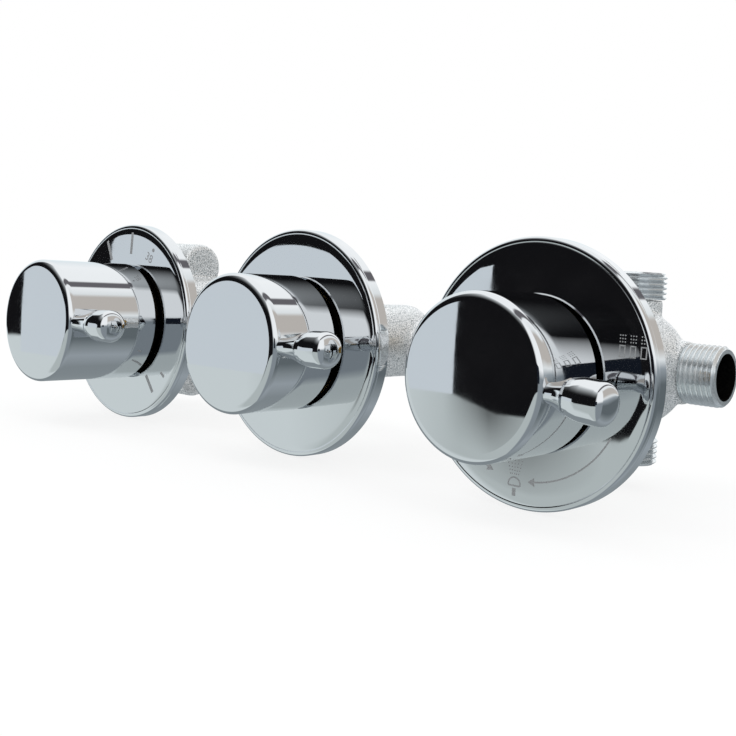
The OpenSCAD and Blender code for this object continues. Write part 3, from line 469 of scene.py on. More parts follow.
# slot, name, colour, metallic, roughness, grain in mm, depth in mm, darker colour
LOOKS = (
    ("brass", "turned_brass", "#b39355", 1.0, 0.36, 0.6, 0.02, "#8f7040"),  # warm, with turning marks
    ("rubber", "nitrile_rubber", "#1c1c1c", 0.0, 0.6, 0.8, 0.02, "#101010"),  # black and dull
    ("plastic_white", "natural_acetal", "#e8e8e2", 0.0, 0.4, 1.5, 0.01, "#dcdcd4"),  # milky
    ("plastic_blue", "blue_acetal", "#3a63a8", 0.0, 0.4, 1.5, 0.01, "#2f5590"),  # dyed, waxy
    ("plastic_orange", "orange_acetal", "#d9591e", 0.0, 0.4, 1.5, 0.01, "#c04c16"),  # dyed, waxy
    ("spring_steel", "stainless_wire", "#b4b6b8", 1.0, 0.3, 0.5, 0.01, "#8e9092"),  # drawn, grey
    ("screw_steel", "stainless_screw", "#a4a6a8", 1.0, 0.3, 0.5, 0.01, "#808284"),  # cut, darker grey
    ("copper", "copper_capsule", "#c98a62", 1.0, 0.3, 0.8, 0.01, "#a86a44"),  # drawn, reddish
    ("ceramic", "lapped_alumina", "#ece9e0", 0.0, 0.15, 1.0, 0.005, "#e2ded2"),  # ivory and smooth
)
FINISHES = {"chrome": chrome, "cast_brass": cast}
for slot, *look in LOOKS:
    FINISHES[slot] = plain_finish(*look)
for row in frame["record"]["subparts"]:
    node = nodes[row["node"]]
    node.data.materials.clear()
    node.data.materials.append(FINISHES[row["material_slot"]])
# Dark brown on the nuts and dark grey in the bores are painted shade, and a plated thread throws light back.
dark_brass = plain_finish("painted_shade_nut", "#3a3228", 1.0, 0.5, 0.6, 0.02, "#241f18")
nodes["plate_nuts"].data.materials[0] = dark_brass
cut_metal = plain_finish("plated_cut_thread", "#eef1f2", 0.85, 0.18, 0.4, 0.02, "#d0d5d8")
# The bores' dark grey is painted shade inside them.
bore_metal = plain_finish("painted_shade_bore", "#3a3836", 1.0, 0.45, 0.8, 0.03, "#22201e")
print(len(FINISHES), "finishes and", dark_brass.name, cut_metal.name, bore_metal.name)

# %% [markdown]
# ## Turning on a lathe
# Knobs and plates are turned, pressed and polished, so each is drawn here as a lathe would cut it:
# one point is extruded from corner to corner into a half section, its sharp corners are rounded
# with a vertex bevel, and the section is spun round the control's axis. With 192 steps or more a
# mirror looks unbroken.

# %% Lathe
SPIN_STEPS = 192
SMOOTH_ANGLE = radians(28)
MERGE = 0.00001 * MM
print("the lathe turns in", SPIN_STEPS, "steps")


def pick(piece):
    deselect()
    piece.select_set(True)
    bpy.context.view_layer.objects.active = piece


def edit_all():
    bpy.ops.object.mode_set(mode="EDIT")
    bpy.ops.mesh.select_all(action="SELECT")


def end_edit():
    bpy.ops.mesh.select_all(action="SELECT")
    bpy.ops.mesh.normals_make_consistent(inside=False)
    bpy.ops.object.mode_set(mode="OBJECT")


def start_point(name, place):
    deselect()
    bpy.ops.mesh.primitive_plane_add(size=MM, location=(0, 0, 0))
    piece = bpy.context.object
    piece.name = name
    bpy.ops.object.mode_set(mode="EDIT")
    bpy.ops.mesh.select_mode(type="VERT")
    bpy.ops.mesh.select_all(action="SELECT")
    bpy.ops.mesh.merge(type="CENTER")
    bpy.ops.transform.translate(value=place)
    return piece


def draw_wire(name, places):
    places = [Vector(p) * MM for p in places]
    piece = start_point(name, places[0])
    for before, after in zip(places, places[1:]):
        bpy.ops.mesh.extrude_region_move(TRANSFORM_OT_translate={"value": after - before})
    bpy.ops.object.mode_set(mode="OBJECT")
    return piece


def round_corner(piece, place, radius, segments=8):
    """Rounds the square corner of a wire that lies nearest to place."""
    target = Vector(place) * MM
    points = piece.data.vertices
    nearest = min(points, key=lambda p: (p.co - target).length)
    for point in points:
        point.select = point == nearest
    bpy.ops.object.mode_set(mode="EDIT")
    bpy.ops.mesh.bevel(offset=radius * MM, segments=segments, affect="VERTICES", clamp_overlap=False)
    bpy.ops.object.mode_set(mode="OBJECT")


def spin(centre, axis, steps=SPIN_STEPS):
    """Spins the wire that was drawn last once round."""
    edit_all()
    bpy.ops.mesh.spin(steps=steps, angle=2 * pi, center=Vector(centre) * MM, axis=axis)
    bpy.ops.mesh.select_all(action="SELECT")
    bpy.ops.mesh.remove_doubles(threshold=MERGE)
    end_edit()
    bpy.ops.object.shade_smooth_by_angle(angle=SMOOTH_ANGLE)


def turn_y(name, x, profile, rounded=(), steps=SPIN_STEPS):
    """Half section in (radius, depth) round an axis into the wall at x, in millimetres."""
    piece = draw_wire(name, [(x + r, y, 0) for r, y in profile])
    for (r, y), radius in rounded:
        round_corner(piece, (x + r, y, 0), radius)
    spin((x, 0, 0), (0, 1, 0), steps)
    return piece


def apply_modifiers(piece):
    bpy.context.view_layer.objects.active = piece
    for modifier in list(piece.modifiers):
        bpy.ops.object.modifier_apply(modifier=modifier.name)


def boolean(piece, tool, operation):
    modifier = piece.modifiers.new("cut", "BOOLEAN")
    modifier.operation = operation
    modifier.object = tool
    modifier.solver = "EXACT"
    apply_modifiers(piece)


def remove(piece):
    bpy.data.objects.remove(piece, do_unlink=True)


def settle(piece):
    """Moves the object's place and turn into its mesh."""
    pick(piece)
    bpy.ops.object.transform_apply(location=True, rotation=True, scale=True)


def copy_piece(piece, name, shift=(0, 0, 0)):
    twin = piece.copy()
    twin.data = piece.data.copy()
    twin.name = name
    bpy.context.collection.objects.link(twin)
    twin.location = Vector(shift) * MM
    settle(twin)
    return twin


def finish_piece(piece, material, body, slot, *replaced):
    """body is None for a piece that lies between two bodies and rides on neither."""
    piece.data.materials.clear()
    piece.data.materials.append(material)
    if body:
        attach(piece, body)
    if replaced:
        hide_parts(*replaced)
    print(piece.name, len(piece.data.polygons), "faces")


# %% [markdown]
# ## The cover plates
# Each plate is one pressed disc, 85 mm across. Its face looks flat but falls by a third of a
# millimetre to the rim, as the mirrored studio shows, then rolls off more steeply in the last few
# millimetres and ends in a fine bead and a rounded edge. The back has a recess for the gasket. The
# faces beside each rounding carry a narrow extra ring, so that smooth shading bends only there.

# %% Cover plates
PITCH = 106
PLATE_R, PLATE_T, PLATE_BORE = 42.5, 7, 17.8
RIM_GROOVE_Y, RIM_GROOVE_W, RIM_GROOVE_D = -4.6, 0.35, 0.12
GASKET_IN, GASKET_OUT, GASKET_T = 34.5, 38.5, 2
GUARD = 0.12
FACE_FROM, FACE_R, FACE_FALL, FACE_RINGS = 18.8, 38, 0.3, 10
ROLL_TO, ROLL_FALL, ROLL_RINGS = 40.4, 0.22, 6
BEAD_W, BEAD_D, BEAD_BACK = 0.5, 0.12, 0.072
BORE_CUT_W, BORE_CUT_TOP, BORE_CUT_D, REAR_CUT = 0.4, 0.1, 0.6, 0.3
PLATE_STEPS = 256
CONTROLS = {"temp": -PITCH, "flow": 0, "diverter": PITCH}


def plate_face(r):
    """How far the polished face lies behind the plate's highest ring, at the distance r from its middle."""
    fall = FACE_FALL * (r / FACE_R) ** 2
    return fall + ROLL_FALL * max(0, (r - FACE_R) / (ROLL_TO - FACE_R)) ** 2


def build_plates():
    radii = [FACE_FROM + i * (FACE_R - FACE_FROM) / FACE_RINGS for i in range(FACE_RINGS + 1)]
    radii += [FACE_R + i * (ROLL_TO - FACE_R) / ROLL_RINGS for i in range(1, ROLL_RINGS + 1)]
    face = [(r, -PLATE_T + plate_face(r)) for r in radii]
    rim = face[-1][1] + BEAD_D
    corner = (PLATE_R, rim - BEAD_BACK)
    edge_r = PLATE_R - ROLL_TO - BEAD_W
    profile = [
        (PLATE_BORE, 0), (PLATE_BORE, -PLATE_T + BORE_CUT_D),
        (PLATE_BORE + BORE_CUT_W, -PLATE_T + BORE_CUT_TOP), *face,
        (ROLL_TO + BEAD_W / 2, rim), (ROLL_TO + BEAD_W, rim - BEAD_BACK), corner,
        (PLATE_R, rim + edge_r + GUARD),
        (PLATE_R, RIM_GROOVE_Y), (PLATE_R - RIM_GROOVE_D, RIM_GROOVE_Y + RIM_GROOVE_W / 2),
        (PLATE_R, RIM_GROOVE_Y + RIM_GROOVE_W), (PLATE_R, -REAR_CUT), (PLATE_R - REAR_CUT, 0),
        (GASKET_OUT, 0), (GASKET_OUT, -GASKET_T), (GASKET_IN, -GASKET_T), (GASKET_IN, 0), (PLATE_BORE, 0),
    ]
    plate = turn_y("flow_plate_chrome", 0, profile, [(corner, edge_r - GUARD)], PLATE_STEPS)
    for control, x in CONTROLS.items():
        piece = plate if control == "flow" else copy_piece(plate, f"{control}_plate_chrome", (x, 0, 0))
        finish_piece(piece, chrome, "valve_body", "chrome", f"{control}_cover_plate")


build_plates()

# %% [markdown]
# ## The knob shells
# A shell is a deep cup with a front that is crowned by half a millimetre. That crown is why each
# face mirrors a wider piece of the studio than the flat plates do. The lever's stem is seated in a
# shallow hole at the side, which is drilled with a boolean.

# %% Knob shells
KNOB_R, KNOB_WALL, KNOB_FACE_T, KNOB_EDGE, KNOB_CROWN, KNOB_REAR = 25, 2, 2.2, 3, 0.45, -9.2
CROWN_RINGS, EDGE_RINGS, REAR_CHAMFER, DRILL_SIDES = 8, 10, 0.4, 48
FRONTS = {"temp": 51, "flow": 39, "diverter": 39}
LEVER_DEPTH, STUD_R, ROOT_R, LEVER_SEAT, FIT = 4.7, 2, 3, 0.35, 0.05
LEVER_TURNS = {"temp": -1.5, "flow": -2.3, "diverter": 3.6}


def build_shell(control):
    x, front = CONTROLS[control], -FRONTS[control]
    crowned = KNOB_R - KNOB_EDGE
    shares = [i / CROWN_RINGS for i in range(CROWN_RINGS)] + [1 - GUARD / crowned, 1]
    crown = [(crowned * s, front + KNOB_CROWN * s * s) for s in shares]
    arc = [(crowned + KNOB_EDGE * sin(a), front + KNOB_CROWN + KNOB_EDGE - KNOB_EDGE * cos(a))
           for a in [pi / 2 * i / EDGE_RINGS for i in range(1, EDGE_RINGS + 1)]]
    profile = crown + arc + [
        (KNOB_R, front + KNOB_CROWN + KNOB_EDGE + GUARD),
        (KNOB_R, KNOB_REAR - REAR_CHAMFER), (KNOB_R - REAR_CHAMFER, KNOB_REAR),
        (KNOB_R - KNOB_WALL, KNOB_REAR), (KNOB_R - KNOB_WALL, front + KNOB_FACE_T), (0, front + KNOB_FACE_T),
    ]
    shell = turn_y(f"{control}_shell_chrome", x, profile)
    turn = radians(LEVER_TURNS[control])
    mouth = Vector((x + KNOB_R * cos(turn), front + LEVER_DEPTH, -KNOB_R * sin(turn))) * MM
    for radius, depth in ((STUD_R + FIT, KNOB_WALL + 1), (ROOT_R + FIT, LEVER_SEAT)):
        deselect()
        bpy.ops.mesh.primitive_cylinder_add(vertices=DRILL_SIDES, radius=radius * MM, depth=2 * depth * MM,
                                            location=mouth, rotation=(0, pi / 2 + turn, 0))
        drill = bpy.context.object
        boolean(shell, drill, "DIFFERENCE")
        remove(drill)
    finish_piece(shell, chrome, f"{control}_knob", "chrome", f"{control}_knob_shell")


for control in CONTROLS:
    build_shell(control)

# %% [markdown]
# ## The levers
# A lever is two turned parts: a neck that flares like a bell and is screwed into the knob's hub, and
# a grip with a conical shoulder and a rounded end that is screwed on the neck. The dark line between
# them is a real gap of a third of a millimetre. The necks differ in length, as in the photograph.

# %% Levers
NECKS = {"temp": 12, "flow": 10.25, "diverter": 6.25}
GRIP_R, GRIP_L, DOME_L, DOME_POWER, DOME_RINGS = 6.2, 13.2, 4.1, 0.85, 12
NECK_R, BELL_RINGS, BELL_POWER = 5.2, 10, 1.5
SHOULDER_R, SHOULDER_L, SHOULDER_ROUND, ROUND_STEPS = 5.45, 3.3, 1.5, 10
SEAM, STUD_L, STUD_IN, NECK_CUT, GRIP_CUT = 0.35, 7, 22.95, 0.6, 0.3
LEVER_STEPS = 96


def turn_x(name, profile, rounded=()):
    """Half section in (distance, radius) round the X axis, in millimetres."""
    piece = draw_wire(name, [(at, 0, r) for at, r in profile])
    for (at, r), radius in rounded:
        round_corner(piece, (at, 0, r), radius, ROUND_STEPS)
    spin((0, 0, 0), (1, 0, 0), LEVER_STEPS)
    return piece


def build_lever(control):
    tip = KNOB_R + NECKS[control]
    shares = [i / BELL_RINGS for i in range(BELL_RINGS + 1)]
    bell_l, flare = tip - SEAM - KNOB_R, NECK_R - ROOT_R
    bell = [(KNOB_R + bell_l * s, ROOT_R + flare * s ** BELL_POWER) for s in shares]
    stem = turn_x(f"{control}_stem_chrome", [
        (STUD_IN, 0), (STUD_IN, STUD_R), (KNOB_R - LEVER_SEAT, STUD_R), (KNOB_R - LEVER_SEAT, ROOT_R), *bell,
        (tip, NECK_R - NECK_CUT), (tip, STUD_R), (tip + STUD_L, STUD_R), (tip + STUD_L, 0)])
    start, dome_at = tip + SEAM, tip + SEAM + GRIP_L - DOME_L
    angles = [pi / 2 * i / DOME_RINGS for i in range(DOME_RINGS)]
    dome = [(dome_at + DOME_L * sin(a) ** DOME_POWER, GRIP_R * cos(a) ** DOME_POWER) for a in angles]
    grip = turn_x(f"{control}_grip_chrome", [
        (start + STUD_L, 0), (start + STUD_L, STUD_R + FIT), (start, STUD_R + FIT),
        (start, SHOULDER_R - GRIP_CUT), (start + GRIP_CUT, SHOULDER_R), (start + SHOULDER_L, GRIP_R),
        *dome, (dome_at + DOME_L, 0)],
        [((start + SHOULDER_L, GRIP_R), SHOULDER_ROUND)])
    for piece, part in ((stem, "lever_stem"), (grip, "lever_grip")):
        piece.rotation_euler = (0, radians(LEVER_TURNS[control]), 0)
        piece.location = Vector((CONTROLS[control], -FRONTS[control] + LEVER_DEPTH, 0)) * MM
        settle(piece)
        finish_piece(piece, chrome, f"{control}_knob", "chrome", f"{control}_{part}")


for control in CONTROLS:
    build_lever(control)

# %% [markdown]
# ## Etched marks
# The temperature plate carries a mark for the mixed water's 38 degrees and a few ticks, and the
# diverter plate shows where its water goes: a hand shower below, body jets at the right and an arrow
# between. Etching leaves the chrome matt, so a mark is pale where the plate mirrors the dark and
# grey where it mirrors the light. Each is a sheet six hundredths of a millimetre thick, sunk by two
# thirds into the face. The symbols are plain ones, drawn for this part. Places are written like
# those on a clock's face: degrees clockwise from 12, and the distance from the middle.

# %% Marks
MARK_T, MARK_PROUD, BAR_CUTS, ARC_STEP = 0.06, 0.02, 6, 5
etched = plain_finish("etched_chrome", "#a4a6a8", 0.3, 0.55, 0.5, 0.01, "#949698")
print(etched.name)


def mark_bar(middle, length, width, turn):
    """A bar on the plate's face, in (right, up), turned clockwise from upright."""
    deselect()
    bpy.ops.mesh.primitive_grid_add(x_subdivisions=1, y_subdivisions=BAR_CUTS, size=MM,
                                    location=(middle[0] * MM, 0, middle[1] * MM), rotation=(pi / 2, 0, 0))
    bar = bpy.context.object
    bar.scale = (width, length, 1)
    bar.rotation_euler = (pi / 2, radians(turn), 0)
    return bar


def mark_disc(middle, radius, corners=12, turn=0):
    deselect()
    bpy.ops.mesh.primitive_circle_add(vertices=corners, radius=radius * MM, fill_type="NGON",
                                      location=(middle[0] * MM, 0, middle[1] * MM),
                                      rotation=(pi / 2, radians(turn), 0))
    return bpy.context.object


def mark_arc(centre, radius, width, start, end):
    """Part of a ring, from start to end in degrees clockwise from 12."""
    low, high = radius - width / 2, radius + width / 2
    a = radians(start)
    arc = draw_wire("arc", [(centre[0] + r * sin(a), 0, centre[1] + r * cos(a)) for r in (low, high)])
    edit_all()
    bpy.ops.mesh.spin(steps=int((end - start) / ARC_STEP), angle=-radians(end - start),
                      center=(centre[0] * MM, 0, centre[1] * MM), axis=(0, 1, 0))
    bpy.ops.object.mode_set(mode="OBJECT")
    return arc


def at_clock(turn, r):
    return (r * sin(radians(turn)), r * cos(radians(turn)))


def join_marks(name, control, marks):
    for mark in marks:
        settle(mark)
    pick(marks[0])
    for mark in marks:
        mark.select_set(True)
    bpy.ops.object.join()
    piece = bpy.context.object
    piece.name = name
    for point in piece.data.vertices:
        r = Vector((point.co.x, point.co.z)).length / MM
        point.co.y = (-PLATE_T + plate_face(r) - MARK_PROUD) * MM
    bpy.ops.object.mode_set(mode="EDIT")
    end_edit()
    for face in piece.data.polygons:
        if face.normal.y > 0:
            face.flip()
    thick = piece.modifiers.new("thickness", "SOLIDIFY")
    thick.thickness, thick.offset = MARK_T * MM, -1
    apply_modifiers(piece)
    piece.location.x = CONTROLS[control] * MM
    settle(piece)
    finish_piece(piece, etched, "valve_body", "chrome")


# %% Temperature marks
# ticks as (degrees, inner and outer distance, width)
TICKS = ((-27, 29.5, 39, 1.6), (1.5, 29.5, 39, 1.6), (143, 28, 36.4, 1.6), (126.6, 33.5, 36.5, 1.2))
NUMBER_AT, NUMBER_TALL, NUMBER_CURVE, DEGREE_AT, DEGREE_R = (26.5, 31.5), 5.2, 4, (28, 35.8), 0.85


def build_number(text, middle, height, turn):
    deselect()
    bpy.ops.object.text_add(location=(middle[0] * MM, 0, middle[1] * MM))
    number = bpy.context.object
    number.data.body = text
    number.data.align_x, number.data.align_y = "CENTER", "CENTER"
    number.data.size = height * MM
    number.data.resolution_u = NUMBER_CURVE
    number.rotation_euler = (pi / 2, radians(turn), 0)
    bpy.ops.object.convert(target="MESH")
    return bpy.context.object


marks = [mark_bar(at_clock(a, (low + high) / 2), high - low, wide, a) for a, low, high, wide in TICKS]
marks.append(build_number("38", at_clock(*NUMBER_AT), NUMBER_TALL, NUMBER_AT[0]))
marks.append(mark_disc(at_clock(*DEGREE_AT), DEGREE_R))
join_marks("temp_plate_marks", "temp", marks)

# %% Diverter marks
SHOWER_AT, JETS_AT, MARK_LINE = (185, 35), (74, 36), 0.5
# The hand shower: a round head, the bar of its face, its handle, and drops that fan out.
HEAD_R, HEAD_TURN, FACE_UP, FACE_W, HANDLE_UP, HANDLE_L, HANDLE_W = 2.2, 100, -0.4, 4.2, -2.4, 2.4, 1.3
DROP_R, DROP_UP, DROP_STEP, DROP_APART, DROP_FAN = 0.24, 3.3, 1.05, 0.75, 0.14
# The body jets: three boxes, each with straight rows of drops.
JETS_APART, BOX_W, BOX_H, BOX_LINE = 3.4, 1.6, 3.2, 0.35
JET_R, JET_UP, JET_STEP, JET_APART = 0.22, 2.7, 0.95, 0.8
# arrows as (distance, start and end of the line, place and turn of the tip)
ARROWS, TIP_R = ((33.3, 118, 173, 174, 90), (33.6, 203, 238, 202, -90)), 1.6


def shifted(place, along, turn):
    """The place that lies at along = (right, up) from place, in a drawing turned clockwise."""
    c, s = cos(radians(turn)), sin(radians(turn))
    return (place[0] + along[0] * c + along[1] * s, place[1] - along[0] * s + along[1] * c)


def hand_shower(place, turn):
    made = [mark_arc(place, HEAD_R, MARK_LINE, turn - HEAD_TURN, turn + HEAD_TURN)]
    made.append(mark_bar(shifted(place, (0, FACE_UP), turn), FACE_W, MARK_LINE, turn + 90))
    made.append(mark_bar(shifted(place, (0, HANDLE_UP), turn), HANDLE_L, HANDLE_W, turn))
    for column in range(-2, 3):
        for row in range(5):
            drop = (column * (DROP_APART + DROP_FAN * row), DROP_UP + DROP_STEP * row)
            made.append(mark_disc(shifted(place, drop, turn), DROP_R))
    return made


def body_jets(place, turn):
    made = []
    for side in (-JETS_APART, 0, JETS_APART):
        for end in (-BOX_W / 2, BOX_W / 2):
            made.append(mark_bar(shifted(place, (side + end, 0), turn), BOX_H, BOX_LINE, turn))
        for end in (-BOX_H / 2, BOX_H / 2):
            made.append(mark_bar(shifted(place, (side, end), turn), BOX_W + BOX_LINE, BOX_LINE, turn + 90))
        made += [mark_disc(shifted(place, (side + column * JET_APART, JET_UP + JET_STEP * row), turn), JET_R)
                 for column in (-1, 0, 1) for row in range(3)]
    return made


marks = hand_shower(at_clock(*SHOWER_AT), 0) + body_jets(at_clock(*JETS_AT), 0)
for r, start, end, tip, turn in ARROWS:
    marks.append(mark_arc((0, 0), r, MARK_LINE, start, end))
    marks.append(mark_disc(at_clock(tip, r), TIP_R, 3, tip + turn))
join_marks("diverter_plate_marks", "diverter", marks)

# %% [markdown]
# ## Threads
# A thread is one tooth that climbs one pitch with each turn. The section of all the teeth is drawn
# as one zigzag wire, and the Screw modifier turns it once round while it lifts it by one pitch, so
# that each tooth ends where the next begins and the doubles merge into one closed helix. The ends
# are cut square with a bisect, and a turned blank gives them their chamfers.

# %% Thread cutter
THREAD_STEPS, SPARE_TURNS, TEETH_MERGE = 96, 3, 0.0005 * MM
SLACK, CREST_CLEAR = 0.05, 0.01
# The flat of crest and root is a share of the pitch. Its rounding ends at a share of the tooth's
# height, at that many flats from the middle of the crest or root.
FLAT, ROUND_HEIGHT, ROUND_AT, LAST_ROOT = 0.16, 0.1, 0.85, 0.9
print("threads turn in", THREAD_STEPS, "steps")


def thread_section(minor, major, pitch, count):
    """Rounded teeth of a Whitworth or metric form, from one pitch below zero, as (radius, height)."""
    flat, soft = FLAT * pitch, ROUND_HEIGHT * (major - minor)
    rise = [(minor, flat / 2), (minor + soft, flat * ROUND_AT),
            (major - soft, 0.5 * pitch - flat * ROUND_AT), (major, 0.5 * pitch - flat / 2)]
    tooth = rise + [(r, pitch - h) for r, h in reversed(rise)]
    teeth = [(r, (n - 1) * pitch + h) for n in range(count) for r, h in tooth]
    return teeth + [(minor, (count - LAST_ROOT) * pitch)]


def cut_ends(length):
    """Cuts what is being edited square at height 0 and at length, and closes both ends."""
    for height, outward in ((0, -1), (length, 1)):
        bpy.ops.mesh.select_all(action="SELECT")
        bpy.ops.mesh.bisect(plane_co=(0, 0, height * MM), plane_no=(0, 0, outward), use_fill=True,
                            clear_outer=True, threshold=MERGE)
    end_edit()


def threaded_tube(name, bore, minor, major, pitch, length, chamfer_front, chamfer_rear):
    """Tube with an outside thread, from the origin along +Z, in millimetres."""
    count = ceil(length / pitch) + SPARE_TURNS
    wire = draw_wire(name, [(r, 0, h - pitch) for r, h in thread_section(minor, major, pitch, count)])
    screw = wire.modifiers.new("thread", "SCREW")
    screw.angle, screw.screw_offset = 2 * pi, pitch * MM
    screw.steps = screw.render_steps = THREAD_STEPS
    screw.use_merge_vertices = False
    apply_modifiers(wire)
    edit_all()
    bpy.ops.mesh.remove_doubles(threshold=TEETH_MERGE)
    cut_ends(length)
    crest = major + CREST_CLEAR
    blank = draw_wire("blank", [(bore, 0, -SLACK), (major - chamfer_front - SLACK, 0, -SLACK),
                                (crest, 0, chamfer_front), (crest, 0, length - chamfer_rear),
                                (major - chamfer_rear, 0, length + SLACK), (bore, 0, length + SLACK),
                                (bore, 0, -SLACK)])
    spin((0, 0, 0), (0, 0, 1), THREAD_STEPS)
    boolean(wire, blank, "INTERSECT")
    remove(blank)
    pick(wire)
    bpy.ops.object.shade_smooth_by_angle(angle=SMOOTH_ANGLE)
    return wire


# %% [markdown]
# ## Half inch pipe threads
# The outlets and the inlets end in the same G 1/2 thread: 20.96 mm across, 14 turns to the inch.
# It is cut in the casting's own metal and plated, so it shines between the rough castings.

# %% Pipe threads
PIPE_MAJOR, PIPE_MINOR, PIPE_PITCH, PIPE_BORE, OUTLET_BORE = 10.478, 9.316, 1.814, 7.5, 8.1
OUTLET_Y, OUTLET_UP, OUTLET_SIDE, OUTLET_THREAD, SIDE_THREAD = 60, 34, 35, 9.5, 13.5
INLET_Y, INLET_Z, INLET_END, INLET_THREAD = 35, 25, -44, 15
PIPE_CHAMFERS, BORE_SLACK = (1, 0.7), 0.1
xt, xf, xd = CONTROLS["temp"], CONTROLS["flow"], CONTROLS["diverter"]
# bore and length, then the name, the end and the direction of each thread
PIPES = (
    (OUTLET_BORE, OUTLET_THREAD, (("outlet_top_thread", (xd, OUTLET_Y, OUTLET_UP), (0, 0, 1)),
                                  ("outlet_bottom_thread", (xd, OUTLET_Y, -OUTLET_UP), (0, 0, -1)))),
    (OUTLET_BORE, SIDE_THREAD, (("outlet_right_thread", (xd + OUTLET_SIDE, OUTLET_Y, 0), (1, 0, 0)),)),
    (PIPE_BORE, INLET_THREAD, (("hot_inlet_thread", (xt + INLET_END, INLET_Y, INLET_Z), (-1, 0, 0)),
                               ("cold_inlet_thread", (xt + INLET_END, INLET_Y, -INLET_Z), (-1, 0, 0)))),
)


def place_bar(bar, name, end, direction):
    """Copies a bar so that its chamfered end lies at the place end and faces along direction."""
    twin = copy_piece(bar, name)
    twin.rotation_euler = (-Vector(direction)).to_track_quat("Z", "Y").to_euler()
    twin.location = Vector(end) * MM
    settle(twin)
    return twin


def darken_bore(piece, end, way):
    """Gives the bore a dark metal, which paints the shade inside it."""
    end, way = Vector(end), Vector(way)
    piece.data.materials.append(bore_metal)
    for face in piece.data.polygons:
        off = face.center / MM - end
        off -= way * off.dot(way)
        if off.length < OUTLET_BORE + BORE_SLACK and abs(face.normal.dot(way)) < 0.5:
            face.material_index = 1


def build_pipe_threads(bore, length, places):
    bar = threaded_tube("pipe_thread", bore, PIPE_MINOR, PIPE_MAJOR, PIPE_PITCH, length, *PIPE_CHAMFERS)
    for name, end, way in places:
        piece = place_bar(bar, name, end, way)
        finish_piece(piece, cut_metal, "valve_body", "cast_brass")
        darken_bore(piece, end, way)
    remove(bar)


for pipe in PIPES:
    build_pipe_threads(*pipe)

# %% [markdown]
# ## Threaded necks
# Each casting has a neck with a fine M35 x 1.5 thread. It carries the nut in front of the plate and
# the lock nut behind the panel, and the cartridge sits in its bore.

# %% Necks
NECK_MAJOR, NECK_MINOR, NECK_PITCH = 17.5, 16.58, 1.5
NECK_FRONT, NECK_REAR, NECK_BORE, NECK_CHAMFERS = -12.5, 20, 14.5, (0.6, 0.05)


def build_necks():
    length = NECK_REAR - NECK_FRONT
    bar = threaded_tube("neck_tube", NECK_BORE, NECK_MINOR, NECK_MAJOR, NECK_PITCH, length, *NECK_CHAMFERS)
    for control, x in CONTROLS.items():
        piece = place_bar(bar, f"{control}_neck_thread", (x, NECK_FRONT, 0), (0, -1, 0))
        finish_piece(piece, cut_metal, "valve_body", "cast_brass")
    remove(bar)


build_necks()

# %% [markdown]
# ## The castings
# A sand casting has no sharp edge: where two round forms meet, the pattern maker leaves a fillet,
# and the skin is slightly uneven. Each housing is copied from the solid model, its threads are
# cut away, and the rest is rebuilt from small cubes and smoothed, which melts the joints together.
# A displacement of less than a tenth of a millimetre gives the skin its unevenness.

# %% Castings
VOXEL = 0.8 * MM
CASTING_SMOOTH = 6
SKIN_DEPTH, SKIN_SIZE = 0.16 * MM, 2.5 * MM
CUT_SIDES, SOLID_MERGE = 64, 0.001 * MM
print("castings of", VOXEL / MM, "mm cubes")


def cutter(name, start, end, radius):
    """Round bar between two places, to cut or to join with."""
    start, end = Vector(start) * MM, Vector(end) * MM
    deselect()
    bpy.ops.mesh.primitive_cylinder_add(vertices=CUT_SIDES, radius=radius * MM, depth=(end - start).length)
    bar = bpy.context.object
    bar.name = name
    bar.rotation_euler = (end - start).to_track_quat("Z", "Y").to_euler()
    bar.location = (start + end) / 2
    settle(bar)
    return bar


def melt_casting(node, name, cuts, shape=None):
    piece = copy_piece(nodes[node], name)
    edit_all()
    bpy.ops.mesh.remove_doubles(threshold=SOLID_MERGE)
    bpy.ops.object.mode_set(mode="OBJECT")
    for i, (start, end, radius) in enumerate(cuts):
        bar = cutter(f"cut_{i}", start, end, radius)
        boolean(piece, bar, "DIFFERENCE")
        remove(bar)
    if shape:
        shape(piece)
    remesh = piece.modifiers.new("rebuild", "REMESH")
    remesh.mode, remesh.voxel_size, remesh.adaptivity = "VOXEL", VOXEL, 0
    soften = piece.modifiers.new("soften", "SMOOTH")
    soften.factor, soften.iterations = 0.5, CASTING_SMOOTH
    skin = bpy.data.textures.new("sand_skin", "CLOUDS")
    skin.noise_scale = SKIN_SIZE
    uneven = piece.modifiers.new("skin", "DISPLACE")
    uneven.texture, uneven.strength, uneven.mid_level = skin, SKIN_DEPTH, 0.5
    apply_modifiers(piece)
    bpy.ops.object.shade_smooth()
    finish_piece(piece, cast, "valve_body", "cast_brass", node)


def box_cutter(low, high):
    deselect()
    bpy.ops.mesh.primitive_cube_add(size=MM, location=[(a + b) / 2 * MM for a, b in zip(low, high)])
    block = bpy.context.object
    block.scale = [b - a for a, b in zip(low, high)]
    settle(block)
    return block


# %% [markdown]
# The diverter's casting ends in a ball, which the photograph shows between its outlets. The solid
# is cut down to it with a turned ring, except over the water passage at its left, where a rib stays.
# A turned cup closes the chamber, and slimmer necks lead out to the threads.

# %% Ball of the diverter
BALL_Y, BALL_R, CUP_IN, SLEEVE_END, CHAMBER_R = 56, 21.5, 19, 70.05, 12.5
RING_R, RING_FRONT, RING_REAR, BALL_STEPS = 30, 49, 80, 96
RIB_X, RIB_W, BOSS_X, BOSS_W, BOSS_REAR = -9, 9, -12, 13, 66
LEAD_R, SIDE_LEAD_R, LEAD_FROM, LEAD_BORE, BORE_FROM = 9.3, 11, 16, 7.52, 12
print("ball of", 2 * BALL_R, "mm")


def ball_arc(radius, start, end, steps=14):
    """Points of the ball's section as (radius, depth), from start to end degrees off its rear pole."""
    angles = [radians(start + (end - start) * i / steps) for i in range(steps + 1)]
    return [(radius * sin(a), BALL_Y + radius * cos(a)) for a in angles]


